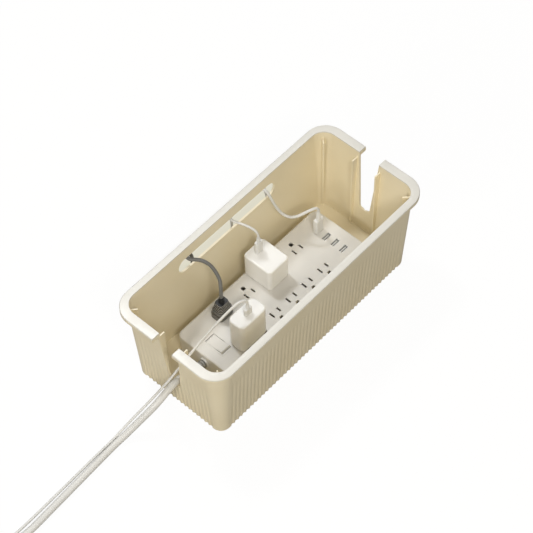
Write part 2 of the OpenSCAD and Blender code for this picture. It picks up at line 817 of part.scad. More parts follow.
module usb_plug_shell() {
    inner_l = usb_plug_l - 2 * port_wall;
    inner_w = usb_plug_w - 2 * port_wall;
    color(metal) at_usb() translate([0, 0, -usb_plug_deep]) difference() {
        translate([-usb_plug_l / 2, -usb_plug_w / 2, 0]) cube([usb_plug_l, usb_plug_w, usb_plug_deep]);
        translate([-inner_l / 2, -inner_w / 2, -past]) cube([inner_l, inner_w, usb_plug_deep + 2 * past]);
    }
}

module usb_plug_insulator() {
    inner_l = usb_plug_l - 2 * port_wall;
    inner_w = usb_plug_w - 2 * port_wall;
    top = tongue_y - tongue_t / 2 - 0.1;
    color("white") at_usb() translate([-inner_l / 2, -inner_w / 2, -usb_plug_deep + 0.2])
        cube([inner_l, inner_w / 2 + top, usb_plug_deep - 0.2]);
}

module usb_plug_grip() {
    color(lead_white) at_usb() {
        soft_block(14.6, 8, 2.6, 27, 2.4, 0.6);
        translate([0, 0, 26.5]) ringed_sleeve(3.3, 2.5, 16.2, 7);
    }
}

// ---- Cords ----

// Stretches of each cord, in order from the box outwards
mains_path = [[-147.2, 4.7, 28.4], [-153, 4.5, 29.8], [-161, 3.9, 34], [-169, 3, 40.5], [-177, 1.7, 46.9],
              [-185, 0.1, 51.3], [-193, -1.4, 53.3], [-201, -2.4, 53.2], [-210, -2.6, 50.4],
              [-220, -1.2, 44.2], [-231, 2.4, 34.6], [-243, 7.2, 23.2], [-255, 11.4, 13.2],
              [-267, 14, 6.9], [-281, 15, 4.3], [-330, 12.8, 4.3], [-395, 9.6, 4.3], [-440, 8, 4.3],
              [-460, 10.8, 4.3], [-472, 12.5, 4.3]];
grey_lift_path = [[-63.6, 32.5, 75], [-63.6, 32.5, 80], [-61.5, 34.5, 88], [-57, 39.5, 97],
                  [-55, 47, 106], [-56, 57, 116], [-61, 66.5, 122.5], [-67.5, 74.5, 124],
                  [-70, 79, 123.5], [-70, 84, 123.5]];
grey_drop_path = [[-70, 84, 123.5], [-70, 88.5, 123.5], [-66.6, 94.5, 119.4], [-59.5, 98, 110.5],
                  [-52.5, 99.5, 100], [-47, 100, 87], [-45.5, 100.5, 70], [-45.5, 101, 45],
                  [-45.8, 101.5, 24], [-46.5, 104, 11], [-47.3, 109, 4.6], [-47.8, 116.5, 2.6]];
cube_lift_path = [[20.85, 44, 107.5], [20.85, 44, 112], [20.2, 47, 118.2], [17.5, 54.5, 123.2],
                  [13, 65.5, 126], [9.4, 75, 126.4], [9, 79, 126.4], [9, 84, 126.4]];
cube_drop_path = [[9, 84, 126.4], [9, 88, 126.4], [12.2, 93, 122.4], [18, 95.5, 113.5], [23, 96.5, 103.5],
                  [26, 97, 92], [26.8, 97, 75], [27, 97, 50], [27.8, 96.8, 28], [31, 96, 12],
                  [37, 94.3, 4], [45, 91.5, 1.8], [54, 88.6, 1.8]];
phone_lift_path = [[-67.2, -17.5, 113], [-67.2, -17.5, 117], [-70, -16.2, 122.5], [-77, -13.5, 124.5],
                   [-86, -11, 121], [-97, -8.5, 115], [-112, -5.8, 107], [-128, -3.6, 98],
                   [-144, -1.2, 88], [-155, 0.6, 80], [-164, 2, 72], [-170, 3, 68]];
phone_run_path = [[-170, 3, 68], [-176, 4, 64], [-186, 5, 58.5], [-198, 6, 53], [-212, 7.6, 46.5],
                  [-225, 10.4, 38.5], [-238, 14.6, 28.5], [-251, 19, 18], [-264, 22.6, 8.4],
                  [-278, 24.4, 2.2], [-300, 24.5, 1.8], [-380, 22, 1.8], [-445, 20.4, 1.8],
                  [-470, 21.8, 1.8], [-494, 23.2, 1.8]];
usb_lift_path = [[118.5, 26.9, 81], [118.5, 26.9, 84.5], [115.5, 28, 89.5], [108, 31, 90.5],
                 [101, 36, 86.5], [94.5, 43, 80], [89, 51.5, 76.5], [85, 60, 80], [81, 67, 92],
                 [77.5, 72, 108], [76, 76.5, 118], [76, 80, 120], [76, 84, 120]];
usb_drop_path = [[76, 84, 120], [76, 88, 120], [79.3, 93, 115.8], [85.5, 95.5, 106.5],
                 [90.5, 96.5, 95], [94.5, 97, 80], [96.5, 97, 62], [97.5, 97, 42], [99.5, 96.5, 24],
                 [104.5, 94.5, 10], [112, 91.5, 3.4], [120, 88.5, 2.1], [130, 85, 2.1]];
mains_coil_at = [-500, -40, 0];
mains_coil_r = 47.5;
grey_coil_at = [-80, 114, 0];
grey_coil_r = 27.5;
cube_coil_at = [64, 108, 0];
phone_coil_at = [-500, 46, 0];
lead_coil_r = 19;
usb_coil_at = [146, 106.5, 0];
usb_coil_r = 22;
mains_turns = 3;
grey_turns = 3;
cube_turns = 4;
phone_turns = 3;
usb_turns = 4;
two_layers = 1.87;
three_layers = 2.73;
mains_tail = 0;
grey_tail = 14;
lead_tail = 6;
grey_tail_z = 7.8;
lead_tail_z = 3;
usb_tail_z = 3.6;
lead_far = [5, 7.8, 18, 8];
usb_far = [6, 9, 20, 9];
grey = [0.50, 0.50, 0.50];

// The end of the stretch that leaves a coil, heading along +X of the turned frame
module at_coil_end(at, r, width, turn, flip, tail) {
    outer = r + width / 2;
    translate(at) rotate([0, 0, turn]) mirror([0, flip, 0])
        translate([sqrt(outer * outer - r * r) - 1 + tail, -r, 0]) children();
}

// The straight stretch at height z between a coil and its plug
module coil_tail(d, tail, z) {
    translate([-tail, 0, z]) rotate([0, 90, 0]) cylinder(h = tail + 1, r = d / 2, $fn = 24);
}

// A lead's far plug, lying down: a ringed sleeve, a moulded grip and its tip; size is its grip's
// thickness, width and length and its sleeve's length
module far_plug(z, size) {
    thick = size[0];
    wide = size[1];
    long = size[2];
    sleeve = size[3];
    translate([0, 0, z]) rotate([0, 90, 0]) {
        translate([0, 0, sleeve + 1]) mirror([0, 0, 1])
            ringed_sleeve(0.5 * thick, 0.4 * thick, sleeve + 1, 4);
        translate([0, 0, sleeve]) soft_block(thick, wide, 0.4 * thick, long, 0.5, 0.5);
        translate([0, 0, sleeve + long - 0.5]) rotate([0, 0, 90]) tip_shape(0, tip_l + 0.5);
    }
}

module mains_cord() {
    color(lead_white) tube(mains_path, mains_d, [0, 1, 0], 12);
}

module mains_coil() {
    color(lead_white) coil(mains_coil_at, mains_coil_r, mains_turns * mains_d, two_layers * mains_d);
}

plug_z = 12.8;
plug_sleeve = 23;
plug_long = 30;
plug_pin_y = -5;

module at_mains_plug() {
    at_coil_end(mains_coil_at, mains_coil_r, mains_turns * mains_d, 0, 0, mains_tail)
        translate([0, 0, plug_z]) rotate([0, 90, 0]) children();
}

module at_mains_blades() {
    at_mains_plug() translate([0, plug_pin_y, plug_sleeve + plug_long]) mirror([0, 0, 1]) children();
}

module mains_plug_body() {
    color(lead_white) difference() {
        at_mains_plug() {
            translate([0, 0, plug_sleeve]) mirror([0, 0, 1]) ringed_sleeve(6.8, 5.2, plug_sleeve, 5);
            translate([0, 0, plug_sleeve - 3]) flared_plate(15, 18, 6, 3.5, 4);
            translate([0, 0, plug_sleeve]) soft_block(25, 28, 6, plug_long, 1, 1);
        }
        at_mains_blades() {
            blade_pockets(pin_seat);
            translate([0, ground_gap, -past]) cylinder(h = pin_seat + past, r = pin_d / 2, $fn = 32);
        }
    }
}

module three_blades() {
    blades(pin_seat);
    translate([0, ground_gap, pin_d / 2 - pin_l]) {
        cylinder(h = pin_l - pin_d / 2 + pin_seat, r = pin_d / 2, $fn = 32);
        sphere(r = pin_d / 2, $fn = 32);
    }
}

module mains_plug_blades() {
    color(metal) at_mains_blades() three_blades();
}

module grey_cord_lift() {
    color(grey) tube(grey_lift_path, grey_d, [1, 0, 0], 10);
}

module grey_cord_drop() {
    color(grey) tube(grey_drop_path, grey_d, [1, -1, 1], 10);
}

module at_grey_end() {
    at_coil_end(grey_coil_at, grey_coil_r, grey_turns * grey_d, 0, 0, grey_tail) children();
}

module grey_cord_coil() {
    color(grey) {
        coil(grey_coil_at, grey_coil_r, grey_turns * grey_d, three_layers * grey_d);
        at_grey_end() coil_tail(grey_d, grey_tail, grey_tail_z);
    }
}

module grey_cord_connector() {
    color(grey) at_grey_end() translate([0, 0, grey_tail_z]) rotate([0, 90, 0]) {
        translate([0, 0, 16]) mirror([0, 0, 1]) ringed_sleeve(4.4, 3.4, 16, 4);
        translate([0, 0, 15]) soft_block(15, 20, 4, 25, 0.8, 2);
    }
}

module cube_lead_lift() {
    color(lead_white) tube(cube_lift_path, lead_d, [1, 0, 0], 8);
}

module cube_lead_drop() {
    color(lead_white) tube(cube_drop_path, lead_d, [1, -1, 1], 8);
}

module at_cube_lead_end() {
    at_coil_end(cube_coil_at, lead_coil_r, cube_turns * lead_d, 180, 0, lead_tail) children();
}

module cube_lead_coil() {
    color(lead_white) {
        coil(cube_coil_at, lead_coil_r, cube_turns * lead_d, two_layers * lead_d);
        at_cube_lead_end() coil_tail(lead_d, lead_tail, lead_tail_z);
    }
}

module cube_lead_connector() {
    color(lead_white) at_cube_lead_end() far_plug(lead_tail_z, lead_far);
}

module phone_lead_lift() {
    color(lead_white) tube(phone_lift_path, lead_d, [0, 1, 0], 8);
}

module phone_lead_run() {
    color(lead_white) tube(phone_run_path, lead_d, [0, 1, 0], 8);
}

module at_phone_lead_end() {
    at_coil_end(phone_coil_at, lead_coil_r, phone_turns * lead_d, 0, 1, lead_tail) children();
}

module phone_lead_coil() {
    color(lead_white) {
        coil(phone_coil_at, lead_coil_r, phone_turns * lead_d, two_layers * lead_d);
        at_phone_lead_end() coil_tail(lead_d, lead_tail, lead_tail_z);
    }
}

module phone_lead_connector() {
    color(lead_white) at_phone_lead_end() far_plug(lead_tail_z, lead_far);
}

module usb_lead_lift() {
    color(lead_white) tube(usb_lift_path, usb_lead_d, [1, 1, 0], 8);
}

module usb_lead_drop() {
    color(lead_white) tube(usb_drop_path, usb_lead_d, [1, -1, 1], 8);
}

module at_usb_lead_end() {
    at_coil_end(usb_coil_at, usb_coil_r, usb_turns * usb_lead_d, 180, 0, lead_tail) children();
}

module usb_lead_coil() {
    color(lead_white) {
        coil(usb_coil_at, usb_coil_r, usb_turns * usb_lead_d, two_layers * usb_lead_d);
        at_usb_lead_end() coil_tail(usb_lead_d, lead_tail, usb_tail_z);
    }
}

module usb_lead_connector() {
    color(lead_white) at_usb_lead_end() far_plug(usb_tail_z, usb_far);
}

box_tub();
foot_pads();
strip_tray();
strip_cover();
strip_screws();
line_bus_bars();
neutral_bus_bars();
ground_bus_bars();
usb_board();
usb_port_shells();
usb_port_tongues();
switch_housing();
switch_rocker();
mains_relief();
mains_cord();
mains_coil();
mains_plug_body();
mains_plug_blades();
grey_plug_body();
grey_plug_blades();
grey_cord_lift();
grey_cord_drop();
grey_cord_coil();
grey_cord_connector();
cube_charger_case();
cube_charger_plate();
cube_charger_blades();
cube_lead_tip();
cube_lead_grip();
cube_lead_lift();
cube_lead_drop();
cube_lead_coil();
cube_lead_connector();
phone_charger_case();
phone_charger_plate();
phone_charger_blades();
phone_lead_tip();
phone_lead_grip();
phone_lead_lift();
phone_lead_run();
phone_lead_coil();
phone_lead_connector();
usb_plug_shell();
usb_plug_insulator();
usb_plug_grip();
usb_lead_lift();
usb_lead_drop();
usb_lead_coil();
usb_lead_connector();
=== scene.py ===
"""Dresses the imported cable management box: finishes, moulded plugs and chargers, cords and a stage."""

import json
from math import asin, atan2, cos, pi, radians, sin, sqrt, tau

import bmesh
import bpy
import numpy as np
from mathutils import Matrix, Vector


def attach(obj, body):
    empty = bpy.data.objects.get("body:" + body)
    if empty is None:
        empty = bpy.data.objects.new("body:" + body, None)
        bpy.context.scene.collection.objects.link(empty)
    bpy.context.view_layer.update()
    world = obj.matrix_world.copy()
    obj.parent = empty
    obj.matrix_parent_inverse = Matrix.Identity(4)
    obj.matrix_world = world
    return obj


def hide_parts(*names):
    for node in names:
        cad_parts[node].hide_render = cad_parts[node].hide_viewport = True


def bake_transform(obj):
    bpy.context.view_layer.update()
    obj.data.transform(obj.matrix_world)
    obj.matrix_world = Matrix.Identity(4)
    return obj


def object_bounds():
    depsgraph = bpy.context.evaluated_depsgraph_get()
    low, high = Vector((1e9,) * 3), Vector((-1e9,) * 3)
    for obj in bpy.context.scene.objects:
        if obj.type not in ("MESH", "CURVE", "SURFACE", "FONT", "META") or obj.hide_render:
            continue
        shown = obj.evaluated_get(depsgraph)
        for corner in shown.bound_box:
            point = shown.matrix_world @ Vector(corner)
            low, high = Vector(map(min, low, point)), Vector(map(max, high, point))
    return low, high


bl_info = {
    "name": "Cable management box",
    "version": (1, 0, 0),
    "blender": (4, 5, 0),
    "location": "3D View > Sidebar > Cable Box",
    "description": "Finishes, plugs, chargers, cords and stage for a cable management box",
    "category": "Object",
}

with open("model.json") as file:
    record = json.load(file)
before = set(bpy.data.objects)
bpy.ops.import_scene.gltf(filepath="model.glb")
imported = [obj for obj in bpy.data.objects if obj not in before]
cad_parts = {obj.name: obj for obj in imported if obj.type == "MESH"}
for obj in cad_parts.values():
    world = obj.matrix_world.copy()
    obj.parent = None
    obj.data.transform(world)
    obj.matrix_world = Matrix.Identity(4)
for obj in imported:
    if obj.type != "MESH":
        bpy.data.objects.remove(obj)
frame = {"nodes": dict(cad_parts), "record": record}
CAD_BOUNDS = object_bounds()
MM = 0.001
TOP = CAD_BOUNDS[1][2]
# Heights over which the painted sheen on top of the tub's lip fades in
RIM_SHEEN_FADE = (TOP - 2.6 * MM, TOP - 0.8 * MM)

# The top of the strip, where the plugs stand, and the ribs of the dark plug's grip above it, in millimetres
STRIP_TOP = 38.3
RIB_BASE, RIB_PITCH, RIB_COUNT = 15.7, 2.6, 5

# ---- Settings that a user would change ----


def colour(name, about, value):
    return bpy.props.FloatVectorProperty(
        name=name, description=about, subtype="COLOR", size=3, min=0, max=1, default=value
    )


def size(name, about, value, low, high):
    return bpy.props.FloatProperty(
        name=name, description=about, default=value * MM, min=low * MM, max=high * MM,
        subtype="DISTANCE", unit="LENGTH", precision=4,
    )


class FinishSettings(bpy.types.PropertyGroup):
    """Colours of the tub, the strip, the plugs and the chargers"""

    tub: colour("Tub", "Cream plastic of the tub", (0.86, 0.775, 0.575))
    tub_shade: colour("Tub shade", "Darker patches in the cream plastic", (0.845, 0.755, 0.55))
    # Painted sheen: the paler tone painted along the top of the tub's lip
    rim: colour("Rim", "Paler, polished plastic along the top of the rim", (0.74, 0.725, 0.68))
    strip: colour("Strip", "White plastic of the power strip", (0.80, 0.79, 0.77))
    charger: colour("Chargers", "Glossy white plastic of the chargers", (0.89, 0.89, 0.885))
    lead: colour("White leads", "Soft white jacket of the leads", (0.74, 0.74, 0.73))
    dark_plug: colour("Dark plug", "Dark plastic of the three-pin plug", (0.13, 0.125, 0.11))
    # Painted shade: the whole relief is made greyer for the shade in its deep grooves
    relief: colour("Bend relief", "Greyer plastic of the mains lead's ringed relief", (0.36, 0.36, 0.35))
    # Painted highlight: the paler tone painted on the ribs of the dark plug's grip
    rib_highlight: colour("Rib highlights", "Ribs of the dark plug's grip, rubbed paler", (0.42, 0.40, 0.36))
    grey_cord: colour("Grey cord", "Jacket of the grey cord", (0.17, 0.17, 0.165))
    brass: colour("Contacts", "Brass of the bus bars", (0.74, 0.56, 0.26))
    # Painted shade: the port shells are near black for the shade inside the ports
    port_shade: colour("Ports", "Dark plating of the USB ports", (0.025, 0.025, 0.025))
    nickel: colour("Blades", "Nickel plating of the blades and shells", (0.66, 0.65, 0.62))


class CordSettings(bpy.types.PropertyGroup):
    """Diameters of the cords"""

    mains: size("Mains lead", "Diameter of the mains lead", 9.4, 6, 10)
    grey: size("Grey cord", "Diameter of the grey cord", 5, 4, 6)
    lead: size("Charging leads", "Diameter of the chargers' leads", 3.4, 3, 4)
    usb: size("USB lead", "Diameter of the USB plug's lead", 4, 3, 5)


class StageSettings(bpy.types.PropertyGroup):
    """Light and floor"""

    key: bpy.props.FloatProperty(
        name="Key light", description="Power of the key lamp in watts; the others follow it",
        default=19, min=0, max=500,
    )
    fill: bpy.props.FloatProperty(
        name="Surrounding light", description="Strength of the light from all round",
        default=0.39, min=0, max=3,
    )
    floor: colour("Floor", "Colour of the floor", (0.42, 0.41, 0.39))


# ---- Materials ----

# Values of the noise at which a colour is all the first tone and all the second
TINT_STOPS = (0.35, 0.65)

# Patches per metre of the plastics' flow marks, uneven gloss and ripples
FLOW_PATCHES, GLOSS_PATCHES, RIPPLE_PATCHES = 22, 60, 45

# Strength of the plastics' ripples and grain, and the ripples' depth in depths of the grain
RIPPLE_STRENGTH, GRAIN_STRENGTH = 0.15, 0.5
RIPPLE_DEPTH = 6

# Stretch of the noise that makes the metals' drawn lines
DRAWN = (1, 1, 8)

# Painted shade between the ribs of the dark plug's grip, and the shares of their pitch where a rib's painted
# highlight begins and ends
RIB_GAP_SHADE = (0.01, 0.01, 0.01)
RIB_RISE, RIB_FALL = (0.0, 0.04), (0.46, 0.5)


def add(tree, kind, at=(0, 0), **values):
    """A shader node; values are its properties or, failing that, its sockets."""
    made = tree.nodes.new(kind)
    made.location = at
    for key, value in values.items():
        if hasattr(made, key):
            setattr(made, key, value)
        else:
            made.inputs[key.replace("_", " ")].default_value = value
    return made


def rgba(c):
    return (*c, 1.0)


def emptied(owner, output):
    """The node tree of a material or world with nothing in it but its output."""
    owner.use_nodes = True
    tree = owner.node_tree
    tree.nodes.clear()
    return tree, add(tree, output, (600, 0))


def new_material(name, **shader):
    mat = bpy.data.materials.new(name)
    tree, out = emptied(mat, "ShaderNodeOutputMaterial")
    bsdf = add(tree, "ShaderNodeBsdfPrincipled", (300, 0))
    for socket, value in shader.items():
        bsdf.inputs[socket.replace("_", " ")].default_value = value
    tree.links.new(bsdf.outputs[0], out.inputs[0])
    return mat, tree, bsdf


def patches(tree, scale, detail, at=(-700, 0), stretch=(1, 1, 1)):
    """Soft noise in the object's own metres; scale is in patches per metre."""
    place = add(tree, "ShaderNodeTexCoord", (at[0] - 400, at[1]))
    bend = add(tree, "ShaderNodeMapping", (at[0] - 200, at[1]))
    bend.inputs["Scale"].default_value = stretch
    noise = add(tree, "ShaderNodeTexNoise", at, Scale=scale, Detail=detail, Roughness=0.5)
    tree.links.new(place.outputs["Object"], bend.inputs[0])
    tree.links.new(bend.outputs[0], noise.inputs["Vector"])
    return noise.outputs[0]


def tint(tree, bsdf, value, first, second):
    """The base colour runs from the first to the second with the value."""
    ramp = add(tree, "ShaderNodeValToRGB", (-350, 200))
    for stop, position, tone in zip(ramp.color_ramp.elements, TINT_STOPS, (first, second)):
        stop.position = position
        stop.color = rgba(tone)
    tree.links.new(value, ramp.inputs[0])
    tree.links.new(ramp.outputs[0], bsdf.inputs["Base Color"])


def vary_roughness(tree, bsdf, value, low, high):
    span = add(tree, "ShaderNodeMapRange", (-350, -100))
    span.inputs["To Min"].default_value = low
    span.inputs["To Max"].default_value = high
    tree.links.new(value, span.inputs["Value"])
    tree.links.new(span.outputs[0], bsdf.inputs["Roughness"])


def raise_grain(tree, bsdf, value, depth, strength, over=None):
    """Raises the surface with the value, on top of another bump if there is one."""
    bump = add(tree, "ShaderNodeBump", (0, -300), Strength=strength, Distance=depth)
    tree.links.new(value, bump.inputs["Height"])
    if over is not None:
        tree.links.new(over.outputs[0], bump.inputs["Normal"])
    tree.links.new(bump.outputs[0], bsdf.inputs["Normal"])
    return bump


def moulded(name, base, shade, rough, grain, depth, **shader):
    """Injection-moulded plastic: faint flow patches, uneven gloss and a fine spark-eroded grain."""
    mat, tree, bsdf = new_material(name, **shader)
    tint(tree, bsdf, patches(tree, FLOW_PATCHES, 2.0), base, shade)
    vary_roughness(tree, bsdf, patches(tree, GLOSS_PATCHES, 3.0, at=(-700, -200)), *rough)
    waves = patches(tree, RIPPLE_PATCHES, 1.0, at=(-700, -400))
    ripple = raise_grain(tree, bsdf, waves, depth * RIPPLE_DEPTH, RIPPLE_STRENGTH)
    raise_grain(tree, bsdf, patches(tree, grain, 2.0, at=(-700, -600)), depth, GRAIN_STRENGTH, ripple)
    return mat


def height_in(tree):
    """Height above the ground at rest."""
    place = add(tree, "ShaderNodeTexCoord", (-1300, 500))
    axes = add(tree, "ShaderNodeSeparateXYZ", (-1100, 500))
    tree.links.new(place.outputs["Object"], axes.inputs[0])
    return axes.outputs[2]


def fade(tree, value, start, end, low=0.0, high=1.0, at=(-600, 500)):
    """Runs smoothly from low to high while the value runs from start to end."""
    run = add(tree, "ShaderNodeMapRange", at, interpolation_type="SMOOTHSTEP")
    for socket, number in zip(("From Min", "From Max", "To Min", "To Max"), (start, end, low, high)):
        run.inputs[socket].default_value = number
    tree.links.new(value, run.inputs["Value"])
    return run.outputs[0]


def reckon(tree, operation, at, *operands):
    """A maths node's result; each operand is a number or the output of another node."""
    node = add(tree, "ShaderNodeMath", at, operation=operation)
    for socket, operand in zip(node.inputs, operands):
        if isinstance(operand, (int, float)):
            socket.default_value = operand
        else:
            tree.links.new(operand, socket)
    return node.outputs[0]


def mix_shaders(tree, share, first, second, out):
    """Mixes two shaders by share and sends them to the output."""
    mix = add(tree, "ShaderNodeMixShader", (300, 0))
    for source, socket in zip((share, first.outputs[0], second.outputs[0]), mix.inputs):
        tree.links.new(source, socket)
    tree.links.new(mix.outputs[0], out.inputs[0])


def lay_over(tree, share, second):
    """Lays a second colour over a material's own, by share."""
    bsdf = next(n for n in tree.nodes if n.type == "BSDF_PRINCIPLED")
    mix = add(tree, "ShaderNodeMix", (0, 300), data_type="RGBA")
    mix.inputs["B"].default_value = rgba(second)
    own = bsdf.inputs["Base Color"].links[0].from_socket
    tree.links.new(share, mix.inputs["Factor"])
    tree.links.new(own, mix.inputs["A"])
    tree.links.new(mix.outputs["Result"], bsdf.inputs["Base Color"])


def paint_rim_sheen(mat, rim):
    """Painted sheen: the top of the tub's lip is painted a paler tone than the walls below it."""
    tree = mat.node_tree
    lay_over(tree, fade(tree, height_in(tree), *RIM_SHEEN_FADE), rim)


def paint_rib_light_and_shade(mat, rib_highlight):
    """Painted light and shade: the ribs of the plug's grip are painted paler as highlights, and the gaps between
    them black as shade.
    """
    tree = mat.node_tree
    height = height_in(tree)
    start = STRIP_TOP + RIB_BASE
    count = reckon(tree, "MULTIPLY_ADD", (-900, 600), height, 1 / (RIB_PITCH * MM), -start / RIB_PITCH)
    part = reckon(tree, "FRACT", (-750, 600), count)
    rise = fade(tree, part, *RIB_RISE, at=(-600, 700))
    fall = fade(tree, part, *RIB_FALL, 1, 0)
    on_grip = fade(tree, height, (start - 0.2) * MM, start * MM, at=(-600, 300))
    on_rib = reckon(tree, "MULTIPLY", (-400, 600), rise, fall)
    lay_over(tree, on_grip, RIB_GAP_SHADE)
    lay_over(tree, reckon(tree, "MULTIPLY", (-200, 600), on_rib, on_grip), rib_highlight)


def metal(name, base, shade, rough):
    """Plated sheet metal with fine drawn lines."""
    _, tree, bsdf = new_material(name, Metallic=1.0)
    tint(tree, bsdf, patches(tree, 120, 3.0), base, shade)
    vary_roughness(tree, bsdf, patches(tree, 500, 2.0, at=(-700, -200), stretch=DRAWN), *rough)
    raise_grain(tree, bsdf, patches(tree, 900, 2.0, at=(-700, -400), stretch=DRAWN), 0.00001, 0.3)


def jacket(name, base, shade, rough):
    """The soft extruded jacket of a cord."""
    _, tree, bsdf = new_material(name, Specular_IOR_Level=0.4)
    tint(tree, bsdf, patches(tree, 35, 2.0), base, shade)
    vary_roughness(tree, bsdf, patches(tree, 90, 2.0, at=(-700, -200)), *rough)


def darker(c, share=0.94):
    return tuple(x * share for x in c)


def make_finishes(s):
    """Every finish, under the name that finish_of looks up."""
    tub = moulded("cream_tub_plastic", s.tub, s.tub_shade, (0.34, 0.42), 1500, 0.00003, Specular_IOR_Level=0.9)
    # Painted sheen along the top of the tub's lip
    paint_rim_sheen(tub, s.rim)
    ribbed = moulded("ribbed_dark_plastic", s.dark_plug, darker(s.dark_plug, 0.8), (0.3, 0.4), 1500, 0.00002)
    # Painted highlights on the grip's ribs and painted shade between them
    paint_rib_light_and_shade(ribbed, s.rib_highlight)
    for name, base, shade, rough, grain, depth in (
        ("strip_plastic", s.strip, darker(s.strip), (0.40, 0.50), 1800, 0.00002),
        ("charger_plastic", s.charger, darker(s.charger, 0.97), (0.20, 0.28), 900, 0.000008),
        ("white_grip_plastic", s.lead, darker(s.lead, 0.96), (0.34, 0.42), 1600, 0.00001),
        ("dark_plug_plastic", s.dark_plug, darker(s.dark_plug, 0.8), (0.36, 0.48), 1500, 0.00003),
        ("port_tongue_plastic", (0.82, 0.82, 0.8), (0.78, 0.78, 0.76), (0.4, 0.5), 2000, 0.00001),
        # Painted shade: the relief's grey stands in for the shade in its grooves
        ("relief_shade_grey", s.relief, darker(s.relief), (0.4, 0.5), 1500, 0.00001),
    ):
        moulded(name, base, shade, rough, grain, depth)
    black = (0.012, 0.012, 0.012)
    moulded("black_sleeve", black, darker(black, 2 / 3), (0.5, 0.6), 1500, 0.00001, Specular_IOR_Level=0.3)
    jacket("white_jacket", s.lead, darker(s.lead, 0.96), (0.38, 0.46))
    jacket("grey_jacket", s.grey_cord, darker(s.grey_cord, 0.85), (0.38, 0.5))
    jacket("pad_rubber", (0.03, 0.03, 0.03), (0.022, 0.022, 0.022), (0.7, 0.8))
    metal("screw_steel", (0.6, 0.6, 0.6), (0.5, 0.5, 0.5), (0.25, 0.35))
    # Painted shade: near-black shells stand in for the shade inside the port openings
    metal("port_steel", s.port_shade, darker(s.port_shade), (0.3, 0.4))
    metal("blade_nickel", s.nickel, darker(s.nickel), (0.16, 0.26))
    metal("contact_brass", s.brass, darker(s.brass), (0.25, 0.35))
    _, tree, bsdf = new_material("board_green", Specular_IOR_Level=0.5)
    tint(tree, bsdf, patches(tree, 300, 2.0), (0.02, 0.12, 0.05), (0.03, 0.16, 0.07))
    vary_roughness(tree, bsdf, patches(tree, 200, 2.0, at=(-700, -200)), 0.25, 0.4)


# Material of each slot whose own name isn't the material's
FINISH_NAMES = {
    "tub_cream": "cream_tub_plastic",
    "strip_white": "strip_plastic",
    "charger_white": "charger_plastic",
    "plug_white": "white_grip_plastic",
    "plug_dark": "dark_plug_plastic",
    "port_plastic": "port_tongue_plastic",
    "lead_white": "white_jacket",
    "cord_grey": "grey_jacket",
}


def finish_of(slot):
    return bpy.data.materials[FINISH_NAMES.get(slot, slot)]


def refinish(piece, name):
    """Another finish than its slot's on a piece."""
    piece.material_slots[0].material = bpy.data.materials[name]


# ---- Mesh making ----

# Angle in degrees from which the edge of a moulded piece stays crisp
CRISP = 40


def as_object(name, mesh, slot, body):
    """A finished piece in the scene, riding on a body."""
    piece = bpy.data.objects.new(name, mesh)
    bpy.context.scene.collection.objects.link(piece)
    mesh.materials.append(finish_of(slot))
    mesh.polygons.foreach_set("use_smooth", [True] * len(mesh.polygons))
    if body:
        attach(piece, body)
    return piece


def keep_flat(piece):
    """Large faces keep their flat shading beside small round ones."""
    weigh = piece.modifiers.new("flat faces stay flat", "WEIGHTED_NORMAL")
    weigh.keep_sharp = True


def weigh_normals(piece):
    """Edges sharper than CRISP degrees stay crisp, and the large faces keep their flat shading."""
    mesh = piece.data
    work = bmesh.new()
    work.from_mesh(mesh)
    for e in work.edges:
        e.smooth = len(e.link_faces) == 2 and e.calc_face_angle(0) < radians(CRISP)
    work.to_mesh(mesh)
    work.free()
    keep_flat(piece)


def corner_ring(l, w, r, z, steps=8):
    """A rectangle with round corners, counter-clockwise from above."""
    r = max(0.05, min(r, l / 2 - 0.01, w / 2 - 0.01))
    out = []
    for k, (sx, sy) in enumerate(((1, 1), (-1, 1), (-1, -1), (1, -1))):
        for i in range(steps + 1):
            a = pi / 2 * (k + i / steps)
            out.append((sx * (l / 2 - r) + r * cos(a), sy * (w / 2 - r) + r * sin(a), z))
    return out


def round_ring(r, z, count):
    """A ring that starts where corner_ring does."""
    return [(r * cos(tau * i / count), r * sin(tau * i / count), z) for i in range(count)]


def block_rings(l, w, r, h, top, bottom, base=0.0, steps=6):
    """Rings of a moulded block from its underside to its top, with round edges."""
    rings = []
    for i in range(steps):
        a = pi / 2 * i / steps
        inset = bottom * (1 - sin(a))
        rings.append(corner_ring(l - 2 * inset, w - 2 * inset, r - inset, base + bottom * (1 - cos(a))))
    for t in (0, 1):
        rings.append(corner_ring(l, w, r, base + bottom + t * (h - top - bottom)))
    for i in range(1, steps + 1):
        a = pi / 2 * i / steps
        inset = top * (1 - cos(a))
        rings.append(corner_ring(l - 2 * inset, w - 2 * inset, r - inset, base + h - top + top * sin(a)))
    return rings


def sleeve_rings(base_r, tip_r, length, count, base=0.0, sides=36, groove=0.3):
    """Rings of a bend relief: it tapers in raised bands with round edges between grooves."""
    step = length / count
    rings = []
    for k in range(count):
        r = base_r + (tip_r - base_r) * k / max(count - 1, 1)
        shoulder, low = r - 0.12 * tip_r, r - groove * tip_r
        first = shoulder if k else r
        for share, radius in ((0, first), (0.1, r), (0.5, r), (0.6, shoulder), (0.68, low), (0.94, low)):
            rings.append(round_ring(radius, base + (k + share) * step, sides))
    rings.append(round_ring(tip_r - groove * tip_r, base + length, sides))
    return rings


